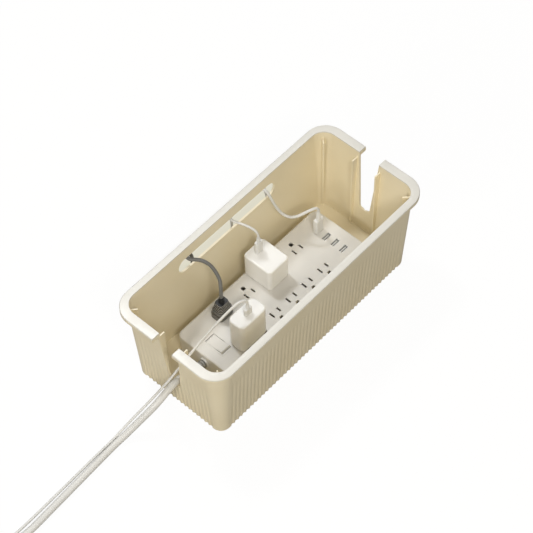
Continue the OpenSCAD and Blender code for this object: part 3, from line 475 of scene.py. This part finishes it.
def loft(stacks, place):
    """One mesh of closed shells, each a stack of rings with flat ends, in millimetres before place."""
    points, faces = [], []
    for rings in stacks:
        start, n = len(points), len(rings[0])
        points += [p for ring in rings for p in ring]
        for i in range(len(rings) - 1):
            for k in range(n):
                a, b = start + i * n + k, start + i * n + (k + 1) % n
                faces.append((a, b, b + n, a + n))
        faces.append(tuple(start + k for k in reversed(range(n))))
        faces.append(tuple(start + (len(rings) - 1) * n + k for k in range(n)))
    mesh = bpy.data.meshes.new("loft")
    mesh.from_pydata([place @ (Vector(p) * MM) for p in points], [], faces)
    mesh.validate()
    return mesh


def at(x, y, z, turn=Matrix.Identity(4)):
    """Where a piece stands, in millimetres, and how it is turned."""
    return Matrix.Translation(Vector((x, y, z)) * MM) @ turn


def moulding(name, node, slot, body, stacks, place):
    """A moulded piece, which stands for a node of the frame if one is named."""
    mesh = loft(stacks, place)
    mesh.name = name
    piece = as_object(name, mesh, slot, body)
    weigh_normals(piece)
    if node:
        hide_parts(node)
    return piece


# ---- Cords ----

# Length of a facet, and how high a cord passes over itself in a coil and after it, in diameters
FACET = 0.45
CROSS_LIFT, TAIL_LIFT = 0.14, 0.3

# Angle between a coil's points, and the angle over which a turn passes to the next
TURN_STEP = radians(9)
TURN_SHIFT = radians(50)


def between(low, high, t, first, second):
    return ((high - t) * first + (t - low) * second) / (high - low)


def through(points, step):
    """A smooth line through the points, with a point about every step millimetres."""
    p = np.array(points, float)
    p = np.vstack([2 * p[0] - p[1], p, 2 * p[-1] - p[-2]])
    out = []
    for i in range(1, len(p) - 2):
        spans = [max(np.linalg.norm(p[i + k] - p[i + k - 1]), 1e-6) ** 0.5 for k in range(3)]
        knots = np.cumsum([0] + spans)
        count = max(2, int(np.linalg.norm(p[i + 1] - p[i]) / step))
        for t in np.linspace(knots[1], knots[2], count, endpoint=False):
            near = list(p[i - 1 : i + 3])
            for level in (1, 2):
                near = [between(knots[k], knots[k + level], t, near[k], near[k + 1]) for k in range(4 - level)]
            out.append(between(knots[1], knots[2], t, *near))
    return np.array([*out, p[-2]])


def ease(t):
    """Runs smoothly from 0 to 1 as t does, and stays there outside."""
    t = min(max(t, 0.0), 1.0)
    return t * t * (3 - 2 * t)


class Coil:
    """A flat coil on the ground: columns of turns side by side, in rows on top of each other."""

    def __init__(self, centre, radius, d, columns, rows, spin, heading, tail, z):
        self.centre = np.array(centre, float)
        self.radius, self.d, self.spin = radius, d, spin
        self.heading = radians(heading)
        self.turns = [(radius + d * ((columns - 1) / 2 - k), d / 2) for k in range(columns)]
        for row in range(1, rows):
            count = columns - row % 2
            z_row = d / 2 + row * d * sqrt(3) / 2
            out = [radius - d * ((count - 1) / 2 - k) for k in range(count)]
            self.turns += [(r, z_row) for r in (out if row % 2 else sorted(out))]
        outer = radius + columns * d / 2
        reach = sqrt(outer**2 - radius**2) - 1 + tail
        along = np.array([cos(self.heading), sin(self.heading)])
        side = spin * np.array([along[1], -along[0]])
        self.end = np.array([*(self.centre + reach * along + radius * side), z])

    def at(self, r, angle, z):
        return [self.centre[0] + r * cos(angle), self.centre[1] + r * sin(angle), z]


def wind(route, coil):
    """Adds a coil to a route, wound from its outermost turn, and the stretch from it to its plug."""
    d, spin, turns = coil.d, coil.spin, coil.turns
    first, ground = turns[0]
    keep = [k for k, q in enumerate(route) if np.linalg.norm(q[:2] - coil.centre) > first + 0.3 * d]
    route = route[: keep[-1] + 1]
    p = route[-1]
    away = coil.centre - p[:2]
    gap = np.linalg.norm(away)
    along = atan2(away[1], away[0]) - spin * asin(first / gap)
    touch = p[:2] + sqrt(gap**2 - first**2) * np.array([cos(along), sin(along)])
    lead_in = [[*(p[:2] + (touch - p[:2]) * t), p[2] + (ground - p[2]) * t] for t in (0.25, 0.5, 0.75)]
    base = atan2(*(touch - coil.centre)[::-1])
    leave = coil.heading - spin * pi / 2
    last = ((leave - base) * spin) % tau
    out = []
    for k, (r, z) in enumerate(turns):
        sweep = last if k == len(turns) - 1 else tau
        before_r, before_z = turns[k - 1] if k else (r, z)
        rising = z > before_z + 0.1
        for i in range(max(3, int(sweep / TURN_STEP))):
            a = i * TURN_STEP
            t = a / TURN_SHIFT
            up = ease(2 * t if rising else t)
            over = ease(2 * t - 1 if rising else t)
            crosses = z > ground + 0.1 and t < 1 and not rising
            lift = CROSS_LIFT * d * sin(pi * t) if crosses else 0
            height = before_z + (z - before_z) * up + lift
            out.append(coil.at(before_r + (r - before_r) * over, base + spin * a, height))
        base += spin * sweep
    start = np.array(coil.at(turns[-1][0], leave, turns[-1][1]))
    way = np.linalg.norm(coil.end - start) * np.array([cos(coil.heading), sin(coil.heading), 0])
    tail = []
    for t in np.linspace(0, 1, 13):
        q = (2 * t**3 - 3 * t**2 + 1) * start + (t**3 - 2 * t**2 + t) * way
        q = q + (3 * t**2 - 2 * t**3) * coil.end + (t**3 - t**2) * way
        tail.append(q + [0, 0, TAIL_LIFT * d * sin(pi * min(t / 0.8, 1)) ** 2])
    return np.vstack([route, lead_in, out, tail])


def even(line, step):
    """The line again with points an even step apart, so the jacket has even facets."""
    along = np.concatenate([[0], np.cumsum(np.linalg.norm(np.diff(line, axis=0), axis=1))])
    spots = np.linspace(0, along[-1], int(along[-1] / step) + 1)
    return np.stack([np.interp(spots, along, line[:, k]) for k in range(3)], axis=1)


def sweep_jacket(line, d, sides):
    """A closed tube of diameter d round the line, without twist."""
    heads = np.gradient(line, axis=0)
    heads /= np.linalg.norm(heads, axis=1)[:, None]
    side = np.cross(heads[0], [0, 0, 1] if abs(heads[0][2]) < 0.9 else [1, 0, 0])
    points, faces = [], []
    for i, (p, t) in enumerate(zip(line, heads)):
        side = side - side.dot(t) * t
        side /= np.linalg.norm(side)
        up = np.cross(t, side)
        for k in range(sides):
            a = tau * k / sides
            points.append((p + d / 2 * (cos(a) * side + sin(a) * up)) * MM)
        if i:
            for k in range(sides):
                a, b = (i - 1) * sides + k, (i - 1) * sides + (k + 1) % sides
                faces.append((a, b, b + sides, a + sides))
    faces.append(tuple(reversed(range(sides))))
    faces.append(tuple((len(line) - 1) * sides + k for k in range(sides)))
    mesh = bpy.data.meshes.new("jacket")
    mesh.from_pydata([tuple(p) for p in points], [], faces)
    work = bmesh.new()
    work.from_mesh(mesh)
    bmesh.ops.recalc_face_normals(work, faces=work.faces)
    work.to_mesh(mesh)
    work.free()
    return mesh


# Middle lines of the cords from where they leave their plugs to their coils, in millimetres
MAINS_ROUTE = [
    (-147.2, 4.7, 28.4), (-153, 4.5, 29.8), (-161, 3.9, 34), (-169, 3, 40.5), (-177, 1.7, 46.9),
    (-185, 0.1, 51.3), (-193, -1.4, 53.3), (-201, -2.4, 53.2), (-210, -2.6, 50.4), (-220, -1.2, 44.2),
    (-231, 2.4, 34.6), (-243, 7.2, 23.2), (-255, 11.4, 13.2), (-267, 14, 6.9), (-281, 15, 4.9),
    (-330, 12.8, 4.9), (-395, 9.6, 4.9), (-440, 8, 4.9), (-460, 10.8, 4.9), (-472, 12.5, 4.9),
]
GREY_ROUTE = [
    (-63.6, 32.5, 75), (-63.6, 32.5, 80), (-61.5, 34.5, 88), (-57, 39.5, 97), (-55, 47, 106),
    (-56, 57, 116), (-61, 66.5, 122.5), (-67.5, 74.5, 124), (-70, 79, 123.5), (-70, 84, 123.5),
    (-70, 88.5, 123.5), (-66.6, 94.5, 119.4), (-59.5, 98, 110.5), (-52.5, 99.5, 100), (-47, 100, 87),
    (-45.5, 100.5, 70), (-45.5, 101, 45), (-45.8, 101.5, 24), (-46.5, 104, 11), (-47.3, 109, 4.6),
    (-47.8, 116.5, 2.6),
]
CUBE_ROUTE = [
    (20.85, 44, 107.5), (20.85, 44, 112), (20.2, 47, 118.2), (17.5, 54.5, 123.2), (13, 65.5, 126),
    (9.4, 75, 126.4), (9, 79, 126.4), (9, 84, 126.4), (9, 88, 126.4), (12.2, 93, 122.4), (18, 95.5, 113.5),
    (23, 96.5, 103.5), (26, 97, 92), (26.8, 97, 75), (27, 97, 50), (27.8, 96.8, 28), (31, 96, 12),
    (37, 94.3, 4), (45, 91.5, 1.8), (54, 88.6, 1.8),
]
PHONE_ROUTE = [
    (-67.2, -17.5, 113), (-67.2, -17.5, 117), (-70, -16.2, 122.5), (-77, -13.5, 124.5), (-86, -11, 121),
    (-97, -8.5, 115), (-112, -5.8, 107), (-128, -3.6, 98), (-144, -1.2, 88), (-155, 0.6, 80), (-164, 2, 72),
    (-170, 3, 68), (-176, 4, 64), (-186, 5, 58.5), (-198, 6, 53), (-212, 7.6, 46.5), (-225, 10.4, 38.5),
    (-238, 14.2, 28.5), (-251, 18.1, 18), (-264, 21.4, 8.4), (-278, 23, 2.2), (-300, 22.8, 1.8),
    (-380, 20.4, 1.8), (-445, 19.2, 1.8), (-470, 21.2, 1.8), (-494, 23.2, 1.8),
]
USB_ROUTE = [
    (118.5, 26.9, 81), (118.5, 26.9, 84.5), (115.5, 28, 89.5), (108, 31, 90.5), (101, 36, 86.5),
    (94.5, 43, 80), (89, 51.5, 76.5), (85, 60, 80), (81, 67, 92), (77.5, 72, 108), (76, 76.5, 118),
    (76, 80, 120), (76, 84, 120), (76, 88, 120), (79.3, 93, 115.8), (85.5, 95.5, 106.5),
    (90.5, 96.5, 95), (94.5, 97, 80), (96.5, 97, 62), (97.5, 97, 42), (99.5, 96.5, 24), (104.5, 94.5, 10),
    (112, 91.5, 3.4), (120, 88.5, 2.1), (130, 85, 2.1),
]


def lay(name, route, step, coil, slot, nodes, sides=16):
    """One cord as a single smooth jacket in place of the nodes; returns it with its middle line in metres."""
    line = even(wind(through(route, step), coil), coil.d * FACET)
    mesh = sweep_jacket(line, coil.d, sides)
    mesh.name = name
    piece = as_object(name, mesh, slot, None)
    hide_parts(*nodes)
    return piece, line * MM


def follow_back(piece):
    """The cord lies still where it is laid, its place baked into its mesh."""
    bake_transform(piece)


def lay_mains(d):
    coil = Coil((-500, -40), 47.5, d, 3, 2, 1, 0, 0, 12.8)
    piece, line = lay("mains_lead", MAINS_ROUTE, 4, coil, "lead_white", ["mains_cord", "mains_coil"], 20)
    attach(piece, "box")


def lay_grey(d):
    coil = Coil((-80, 114), 27.5, d, 3, 3, 1, 0, 14, 7.8)
    nodes = ["grey_cord_lift", "grey_cord_drop", "grey_cord_coil"]
    piece, line = lay("grey_cord", GREY_ROUTE, 3, coil, "cord_grey", nodes)
    follow_back(piece)


def lay_cube_lead(d):
    coil = Coil((64, 108), 19, d, 4, 2, 1, 180, 6, 3)
    nodes = ["cube_lead_lift", "cube_lead_drop", "cube_lead_coil"]
    piece, line = lay("cube_lead", CUBE_ROUTE, 2, coil, "lead_white", nodes)
    follow_back(piece)


def lay_phone_lead(d):
    coil = Coil((-500, 46), 19, d, 3, 2, -1, 0, 6, 3)
    nodes = ["phone_lead_lift", "phone_lead_run", "phone_lead_coil"]
    piece, line = lay("phone_lead", PHONE_ROUTE, 2, coil, "lead_white", nodes)
    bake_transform(piece)


def lay_usb_lead(d):
    coil = Coil((146, 106.5), 22, d, 4, 2, 1, 180, 6, 3.6)
    nodes = ["usb_lead_lift", "usb_lead_drop", "usb_lead_coil"]
    piece, line = lay("usb_lead", USB_ROUTE, 2, coil, "lead_white", nodes)
    follow_back(piece)


# ---- Plugs, chargers and what is on the ends of the cords ----

# Turns for far plugs that lie on the ground with their tips towards +X and -X
LYING_X = Matrix.Rotation(pi / 2, 4, "Y")
LYING_BACK = Matrix.Rotation(pi, 4, "Z") @ LYING_X


def upside_down(rings, height):
    """The same rings, turned over so that the last comes first."""
    return [[(x, y, height - z) for x, y, z in ring] for ring in reversed(rings)]


def make_grey_plug():
    """A wide foot, a lip, a ribbed grip and a black sleeve where the cord leaves."""
    place = at(-63.55, 32.5, STRIP_TOP)
    foot = block_rings(27, 20.5, 6.5, 9, 1.2, 0.6)
    neck = [corner_ring(21, 14.5, 4.5, z) for z in (8, 12)]
    lip = block_rings(25, 18.5, 6, 3.4, 0.7, 0.5, 11)
    core = [corner_ring(12.5, 9, 3.5, z) for z in (14, 26.5)]
    ribs = [
        block_rings(20.5 - 1.1 * k, 15.6 - 0.7 * k, 4, 1.3, 0.2, 0.2, RIB_BASE + RIB_PITCH * k, 3)
        for k in range(RIB_COUNT)
    ]
    sleeve = sleeve_rings(4.1, 3.4, 10.5, 4, 26.2)
    plug = moulding("grey_plug", "grey_plug_body", "plug_dark", "grey_plug", [foot, neck, lip, core, *ribs], place)
    refinish(plug, "ribbed_dark_plastic")
    refinish(moulding("grey_plug_sleeve", None, "plug_dark", "grey_plug", [sleeve], place), "black_sleeve")


def make_chargers():
    """The cases on their plates, and the grips of the leads that stand in them."""
    moulding("cube_charger", "cube_charger_case", "charger_white", "cube_charger",
             [block_rings(38.5, 48, 6, 38, 2.4, 0.6, 2, 8)], at(21.25, 31.7, STRIP_TOP))
    moulding("phone_charger", "phone_charger_case", "charger_white", "phone_charger",
             [block_rings(48, 26.5, 8, 52, 2.2, 0.6, 2, 8)], at(-67.3, -17, STRIP_TOP))
    for name, node, body, place, height, relief in (
        ("cube_grip", "cube_lead_grip", "cube_charger", at(20.85, 44, 78.3), 20.7, 8.5),
        ("phone_grip", "phone_lead_grip", "phone_charger", at(-67.2, -17.5, 92.3), 12.7, 8),
    ):
        grip = block_rings(12.4, 6.5, 3, height, 1.2, 0.5)
        sleeve = sleeve_rings(2.8, 2.3, relief + 0.5, 5, height - 0.5, 24)
        moulding(name, node, "plug_white", body, [grip, sleeve], place)


def make_usb_plug():
    grip = block_rings(14.6, 8, 2.6, 27, 2.4, 0.6)
    sleeve = sleeve_rings(3.3, 2.5, 16.2, 7, 26.5, 24)
    moulding("usb_plug_grip_moulded", "usb_plug_grip", "plug_white", "usb_plug", [grip, sleeve],
             at(118.5, 26.9, STRIP_TOP))


def far_end(name, node, place, thick, wide, long, relief):
    """A lead's far plug, lying down: sleeve, grip and metal tip."""
    body = block_rings(thick, wide, 0.4 * thick, long, 0.6, 0.6, relief)
    sleeve = upside_down(sleeve_rings(0.5 * thick, 0.4 * thick, relief + 1, 4, 0, 24), relief + 1)
    moulding(name, node, "lead_white", "box", [sleeve, body], place)
    shell = [corner_ring(1.8, 6.8, 0.88, relief + long - 0.5 + z, 6) for z in (0, 6.2)]
    rounded = [corner_ring(1.3, 6.3, 0.6, relief + long + 6, 6)]
    moulding(name + "_tip", None, "port_steel", "box", [shell + rounded], place)


def make_far_ends():
    far_end("cube_connector", "cube_lead_connector", at(41.55, 127, 3, LYING_BACK), 5, 7.8, 18, 8)
    far_end("phone_connector", "phone_lead_connector", at(-480.2, 65, 3, LYING_X), 5, 7.8, 18, 8)
    far_end("usb_connector", "usb_lead_connector", at(120.6, 128.5, 3.6, LYING_BACK), 6, 9, 20, 9)
    body = block_rings(15, 20, 4, 25, 0.8, 2, 15)
    sleeve = upside_down(sleeve_rings(4.4, 3.4, 16, 4), 16)
    moulding("grey_connector", "grey_cord_connector", "cord_grey", "box", [sleeve, body],
             at(-45.35, 86.5, 7.8, LYING_X))
    plug = block_rings(25, 28, 6, 30, 1, 1, 23)
    neck = [corner_ring(15 + 8 * t, 18 + 8 * t, 6, 20 + 3.5 * t) for t in (0, 0.5, 1)]
    sleeve = upside_down(sleeve_rings(6.8, 5.2, 23, 5), 23)
    moulding("mains_plug", "mains_plug_body", "lead_white", "box", [sleeve, neck, plug],
             at(-463.9, -87.5, 12.8, LYING_X))


def make_mains_relief():
    """The ringed relief rises a little from its flange on the end of the strip."""
    tilt = Matrix.Rotation(radians(12 - 90), 4, "Y")
    sleeve = sleeve_rings(6.4, 5.2, 19.7, 5, -1.2, 36, 0.42)
    relief = moulding("mains_bend_relief", "mains_relief", "lead_white", "box", [sleeve],
                      at(-129.1, 4.7, 24.5, tilt))
    # Painted shade: greyer all over for the shade in its grooves
    refinish(relief, "relief_shade_grey")
    flange = [round_ring(r, z, 48) for r, z in ((7.1, 0), (7.5, 0.4), (7.5, 2.2), (7.1, 2.6))]
    moulding("mains_relief_flange", None, "lead_white", "box", [flange],
             at(-126.5, 4.7, 24.5, Matrix.Rotation(-pi / 2, 4, "Y")))


# ---- Finishes on the nodes of the frame ----

SHADE_NODES = "smooth by angle"

# Distance in metres within which split points are joined
WELD = 2e-6

# Angles in degrees from which an edge stays crisp
NODE_CRISP, TUB_CRISP = 34, 50


def smoothing(angle):
    """A node group for a modifier: joins split points and keeps only the sharper edges crisp."""
    name = f"{SHADE_NODES} {angle}"
    if name in bpy.data.node_groups:
        return bpy.data.node_groups[name]
    tree = bpy.data.node_groups.new(name, "GeometryNodeTree")
    for way in ("INPUT", "OUTPUT"):
        tree.interface.new_socket("Geometry", in_out=way, socket_type="NodeSocketGeometry")
    kinds = (
        "NodeGroupInput", "GeometryNodeRemoveAttribute", "GeometryNodeMergeByDistance",
        "GeometryNodeSetShadeSmooth", "GeometryNodeSetShadeSmooth", "NodeGroupOutput",
    )
    chain = [tree.nodes.new(kind) for kind in kinds]
    for before, after in zip(chain, chain[1:]):
        tree.links.new(before.outputs[0], after.inputs[0])
    _, drop, join, _, edges, _ = chain
    drop.inputs["Name"].default_value = "custom_normal"
    join.inputs["Distance"].default_value = WELD
    edges.domain = "EDGE"
    bend = tree.nodes.new("GeometryNodeInputMeshEdgeAngle")
    flat = tree.nodes.new("FunctionNodeCompare")
    flat.operation = "LESS_THAN"
    flat.inputs[1].default_value = radians(angle)
    tree.links.new(bend.outputs["Unsigned Angle"], flat.inputs[0])
    tree.links.new(flat.outputs[0], edges.inputs["Shade Smooth"])
    return tree


def finish_nodes():
    """Gives each node of the frame its slot's finish and smooth shading between its crisp edges."""
    slots = {p["node"]: p["material_slot"] for p in frame["record"]["subparts"]}
    for name, piece in frame["nodes"].items():
        for k in range(max(1, len(piece.material_slots))):
            if not piece.material_slots:
                piece.data.materials.append(None)
            piece.material_slots[k].material = finish_of(slots[name])
        if piece.hide_render:
            continue
        shade = piece.modifiers.new(SHADE_NODES, "NODES")
        shade.node_group = smoothing(TUB_CRISP if name == "box_tub" else NODE_CRISP)
        keep_flat(piece)


# ---- Stage ----

CAMERA_AT = (-0.98325, -0.92381, 2.02574)
CAMERA_RIGHT = (0.67345, -0.73886, -0.02360)
CAMERA_UP = (0.61253, 0.53986, 0.57737)
CAMERA_AHEAD = (0.41385, 0.40328, -0.81614)

# Size of the view, focal length and shift of its middle in pixels, and the sensor's width in millimetres
VIEW_PIXELS = 533
FOCAL_PIXELS = 1845.16
SHIFT_PIXELS = (13.1, -5.54)
SENSOR = 36.0

# Each lamp's name, place, aim, width and height, share of the key light's power, and tone
LAMPS = (
    ("key_lamp", (0.19, 1.2, 2.35), (0, 0, 0.05), (0.34, 0.34), 1.0, (0.97, 1, 1.03)),
    ("sheen_lamp", (1.16, 1.13, 2.38), (0, 0, 0.1), (1.0, 0.8), 0.22, (0.97, 1, 1.03)),
    ("end_lamp", (-2.4, -0.42, 1.15), (-0.1, 0, 0.05), (0.7, 0.7), 1.0, (1, 0.97, 0.9)),
    ("front_lamp", (-1.0, -1.6, 2.25), (0, 0, 0.05), (0.5, 0.5), 1.3, (1, 0.96, 0.88)),
)

# Tone of the light from all round, the height of a ray where it is full, and its share at the horizon
DOME_TONE = (1, 0.95, 0.85)
DOME_TOP, DOME_LOW = 0.6, 0.35

# The floor's half width in metres, how bright the eye sees it, and how much that covers the shadows on it
FLOOR_HALF = 4.0
FLOOR_GLOW = 1.1
FLOOR_SEEN = 0.86

# Tone of the painted bounce light, a warm patch behind the tub; along each axis its middle and the distances over
# which it fades, in metres
BOUNCE_TONE = (0.725, 0.70, 0.57)
BOUNCE_PATCH = ((0, 0.0625, 0.105, 0.135), (1, 0.10, 0.042, 0.078))


def place_camera():
    data = bpy.data.cameras.new("studio_camera")
    data.sensor_fit = "HORIZONTAL"
    data.sensor_width = SENSOR
    data.lens = FOCAL_PIXELS * SENSOR / VIEW_PIXELS
    data.shift_x, data.shift_y = (shift / VIEW_PIXELS for shift in SHIFT_PIXELS)
    data.clip_start, data.clip_end = 0.1, 30
    camera = bpy.data.objects.new("studio_camera", data)
    bpy.context.scene.collection.objects.link(camera)
    right, up, back = Vector(CAMERA_RIGHT), Vector(CAMERA_UP), -Vector(CAMERA_AHEAD)
    camera.matrix_world = Matrix.Translation(CAMERA_AT) @ Matrix((right, up, back)).transposed().to_4x4()
    bpy.context.scene.camera = camera


def soft_lamp(name, place, aim, sides, power, tone):
    data = bpy.data.lights.new(name, "AREA")
    data.shape = "RECTANGLE"
    data.size, data.size_y = sides
    data.energy = power
    data.color = tone
    lamp = bpy.data.objects.new(name, data)
    bpy.context.scene.collection.objects.link(lamp)
    way = Vector(aim) - Vector(place)
    lamp.matrix_world = Matrix.Translation(place) @ way.to_track_quat("-Z", "Y").to_matrix().to_4x4()


def light_world(strength):
    """A soft overhead dome, fainter towards the horizon, seen as plain white."""
    world = bpy.data.worlds.new("studio_world")
    tree, out = emptied(world, "ShaderNodeOutputWorld")
    glow = add(tree, "ShaderNodeBackground", (0, 100), Color=rgba(DOME_TONE))
    seen = add(tree, "ShaderNodeBackground", (0, -100), Color=(1, 1, 1, 1), Strength=1.0)
    sky = add(tree, "ShaderNodeTexCoord", (-900, 0))
    height = add(tree, "ShaderNodeSeparateXYZ", (-700, 0))
    tree.links.new(sky.outputs["Generated"], height.inputs[0])
    dome = fade(tree, height.outputs[2], 0.0, DOME_TOP, DOME_LOW * strength, strength, (-400, 0))
    tree.links.new(dome, glow.inputs["Strength"])
    path = add(tree, "ShaderNodeLightPath", (-600, 300)).outputs
    either = reckon(tree, "MAXIMUM", (-300, 300), path["Is Camera Ray"], path["Is Glossy Ray"])
    any_ray = reckon(tree, "MAXIMUM", (-100, 300), either, path["Is Transmission Ray"])
    mix_shaders(tree, any_ray, glow, seen, out)
    bpy.context.scene.world = world


def paint_bounce_patch(tree):
    """White, but for a warm patch of painted bounce light close behind the tub, where the tub would throw its own
    colour back.
    """
    spot = add(tree, "ShaderNodeTexCoord", (-1300, -200))
    axes = add(tree, "ShaderNodeSeparateXYZ", (-1100, -200))
    tree.links.new(spot.outputs["Object"], axes.inputs[0])
    fades = []
    for axis, middle, near, far in BOUNCE_PATCH:
        off = reckon(tree, "SUBTRACT", (-900, -200 * axis), axes.outputs[axis], middle)
        away = reckon(tree, "ABSOLUTE", (-700, -200 * axis), off)
        fades.append(fade(tree, away, near, far, 1, 0, (-500, -200 * axis)))
    warm = add(tree, "ShaderNodeMix", (-150, -200), data_type="RGBA")
    warm.inputs["A"].default_value = (1, 1, 1, 1)
    warm.inputs["B"].default_value = rgba(BOUNCE_TONE)
    tree.links.new(reckon(tree, "MULTIPLY", (-300, -100), *fades), warm.inputs["Factor"])
    return warm.outputs["Result"]


def lay_floor(tone):
    """A plain floor that the eye sees nearly white and that still takes shadows."""
    mesh = bpy.data.meshes.new("studio_floor")
    corners = [(x * FLOOR_HALF, y * FLOOR_HALF, 0) for x, y in ((-1, -1), (1, -1), (1, 1), (-1, 1))]
    mesh.from_pydata(corners, [], [(0, 1, 2, 3)])
    floor = bpy.data.objects.new("studio_floor", mesh)
    bpy.context.scene.collection.objects.link(floor)
    mat = bpy.data.materials.new("floor_paint")
    tree, out = emptied(mat, "ShaderNodeOutputMaterial")
    paint = add(tree, "ShaderNodeBsdfDiffuse", (0, 100), Color=rgba(tone))
    seen = add(tree, "ShaderNodeEmission", (0, -100), Strength=FLOOR_GLOW)
    # The floor's seen colour carries the painted bounce light behind the tub
    tree.links.new(paint_bounce_patch(tree), seen.inputs["Color"])
    path = add(tree, "ShaderNodeLightPath", (-500, 200)).outputs
    share = reckon(tree, "MULTIPLY", (-200, 200), path["Is Camera Ray"], FLOOR_SEEN)
    mix_shaders(tree, share, paint, seen, out)
    mesh.materials.append(mat)


# ---- Operators ----


class CABLEBOX_OT_stage(bpy.types.Operator):
    """Set up the camera, the lamps and the floor"""

    bl_idname = "cable_box.stage"
    bl_label = "Camera, Light and Floor"

    def execute(self, context):
        s = context.scene.cable_box_stage
        place_camera()
        for name, place, aim, sides, share, tone in LAMPS:
            soft_lamp(name, place, aim, sides, s.key * share, tone)
        light_world(s.fill)
        lay_floor(s.floor)
        context.scene.view_settings.view_transform = "Standard"
        return {"FINISHED"}


class CABLEBOX_OT_finishes(bpy.types.Operator):
    """Make the finishes of the plastics, metals and jackets"""

    bl_idname = "cable_box.finishes"
    bl_label = "Finishes"

    def execute(self, context):
        make_finishes(context.scene.cable_box_finish)
        return {"FINISHED"}


class CABLEBOX_OT_plugs(bpy.types.Operator):
    """Mould the plugs, chargers, bend reliefs and far ends"""

    bl_idname = "cable_box.plugs"
    bl_label = "Plugs and Chargers"

    def execute(self, context):
        make_grey_plug()
        make_chargers()
        make_usb_plug()
        make_mains_relief()
        make_far_ends()
        return {"FINISHED"}


class CABLEBOX_OT_cords(bpy.types.Operator):
    """Lay the mains lead, the grey cord and the charging leads"""

    bl_idname = "cable_box.cords"
    bl_label = "Cords"

    def execute(self, context):
        s = context.scene.cable_box_cords
        lay_mains(s.mains / MM)
        lay_grey(s.grey / MM)
        lay_cube_lead(s.lead / MM)
        lay_phone_lead(s.lead / MM)
        lay_usb_lead(s.usb / MM)
        return {"FINISHED"}


class CABLEBOX_OT_frame_parts(bpy.types.Operator):
    """Finish the tub, the power strip and the metal parts"""

    bl_idname = "cable_box.frame_parts"
    bl_label = "Tub and Power Strip"

    def execute(self, context):
        finish_nodes()
        return {"FINISHED"}


class CABLEBOX_PT_panel(bpy.types.Panel):
    """Sizes, colours and steps of the cable management box"""

    bl_idname = "CABLEBOX_PT_panel"
    bl_label = "Cable Management Box"
    bl_space_type = "VIEW_3D"
    bl_region_type = "UI"
    bl_category = "Cable Box"

    def draw(self, context):
        scene = context.scene
        for group in (scene.cable_box_finish, scene.cable_box_cords, scene.cable_box_stage):
            box = self.layout.box()
            for name in group.__annotations__:
                box.prop(group, name)
        for step in STEPS:
            self.layout.operator(step.bl_idname)


STEPS = (
    CABLEBOX_OT_stage, CABLEBOX_OT_finishes, CABLEBOX_OT_plugs, CABLEBOX_OT_cords, CABLEBOX_OT_frame_parts,
)
CLASSES = (FinishSettings, CordSettings, StageSettings, *STEPS, CABLEBOX_PT_panel)


def register():
    for c in CLASSES:
        bpy.utils.register_class(c)
    bpy.types.Scene.cable_box_finish = bpy.props.PointerProperty(type=FinishSettings)
    bpy.types.Scene.cable_box_cords = bpy.props.PointerProperty(type=CordSettings)
    bpy.types.Scene.cable_box_stage = bpy.props.PointerProperty(type=StageSettings)


def unregister():
    for name in ("cable_box_stage", "cable_box_cords", "cable_box_finish"):
        delattr(bpy.types.Scene, name)
    for c in reversed(CLASSES):
        bpy.utils.unregister_class(c)


def main():
    register()
    for step in STEPS:
        group, name = step.bl_idname.split(".")
        getattr(getattr(bpy.ops, group), name)()


if __name__ == "__main__":
    main()
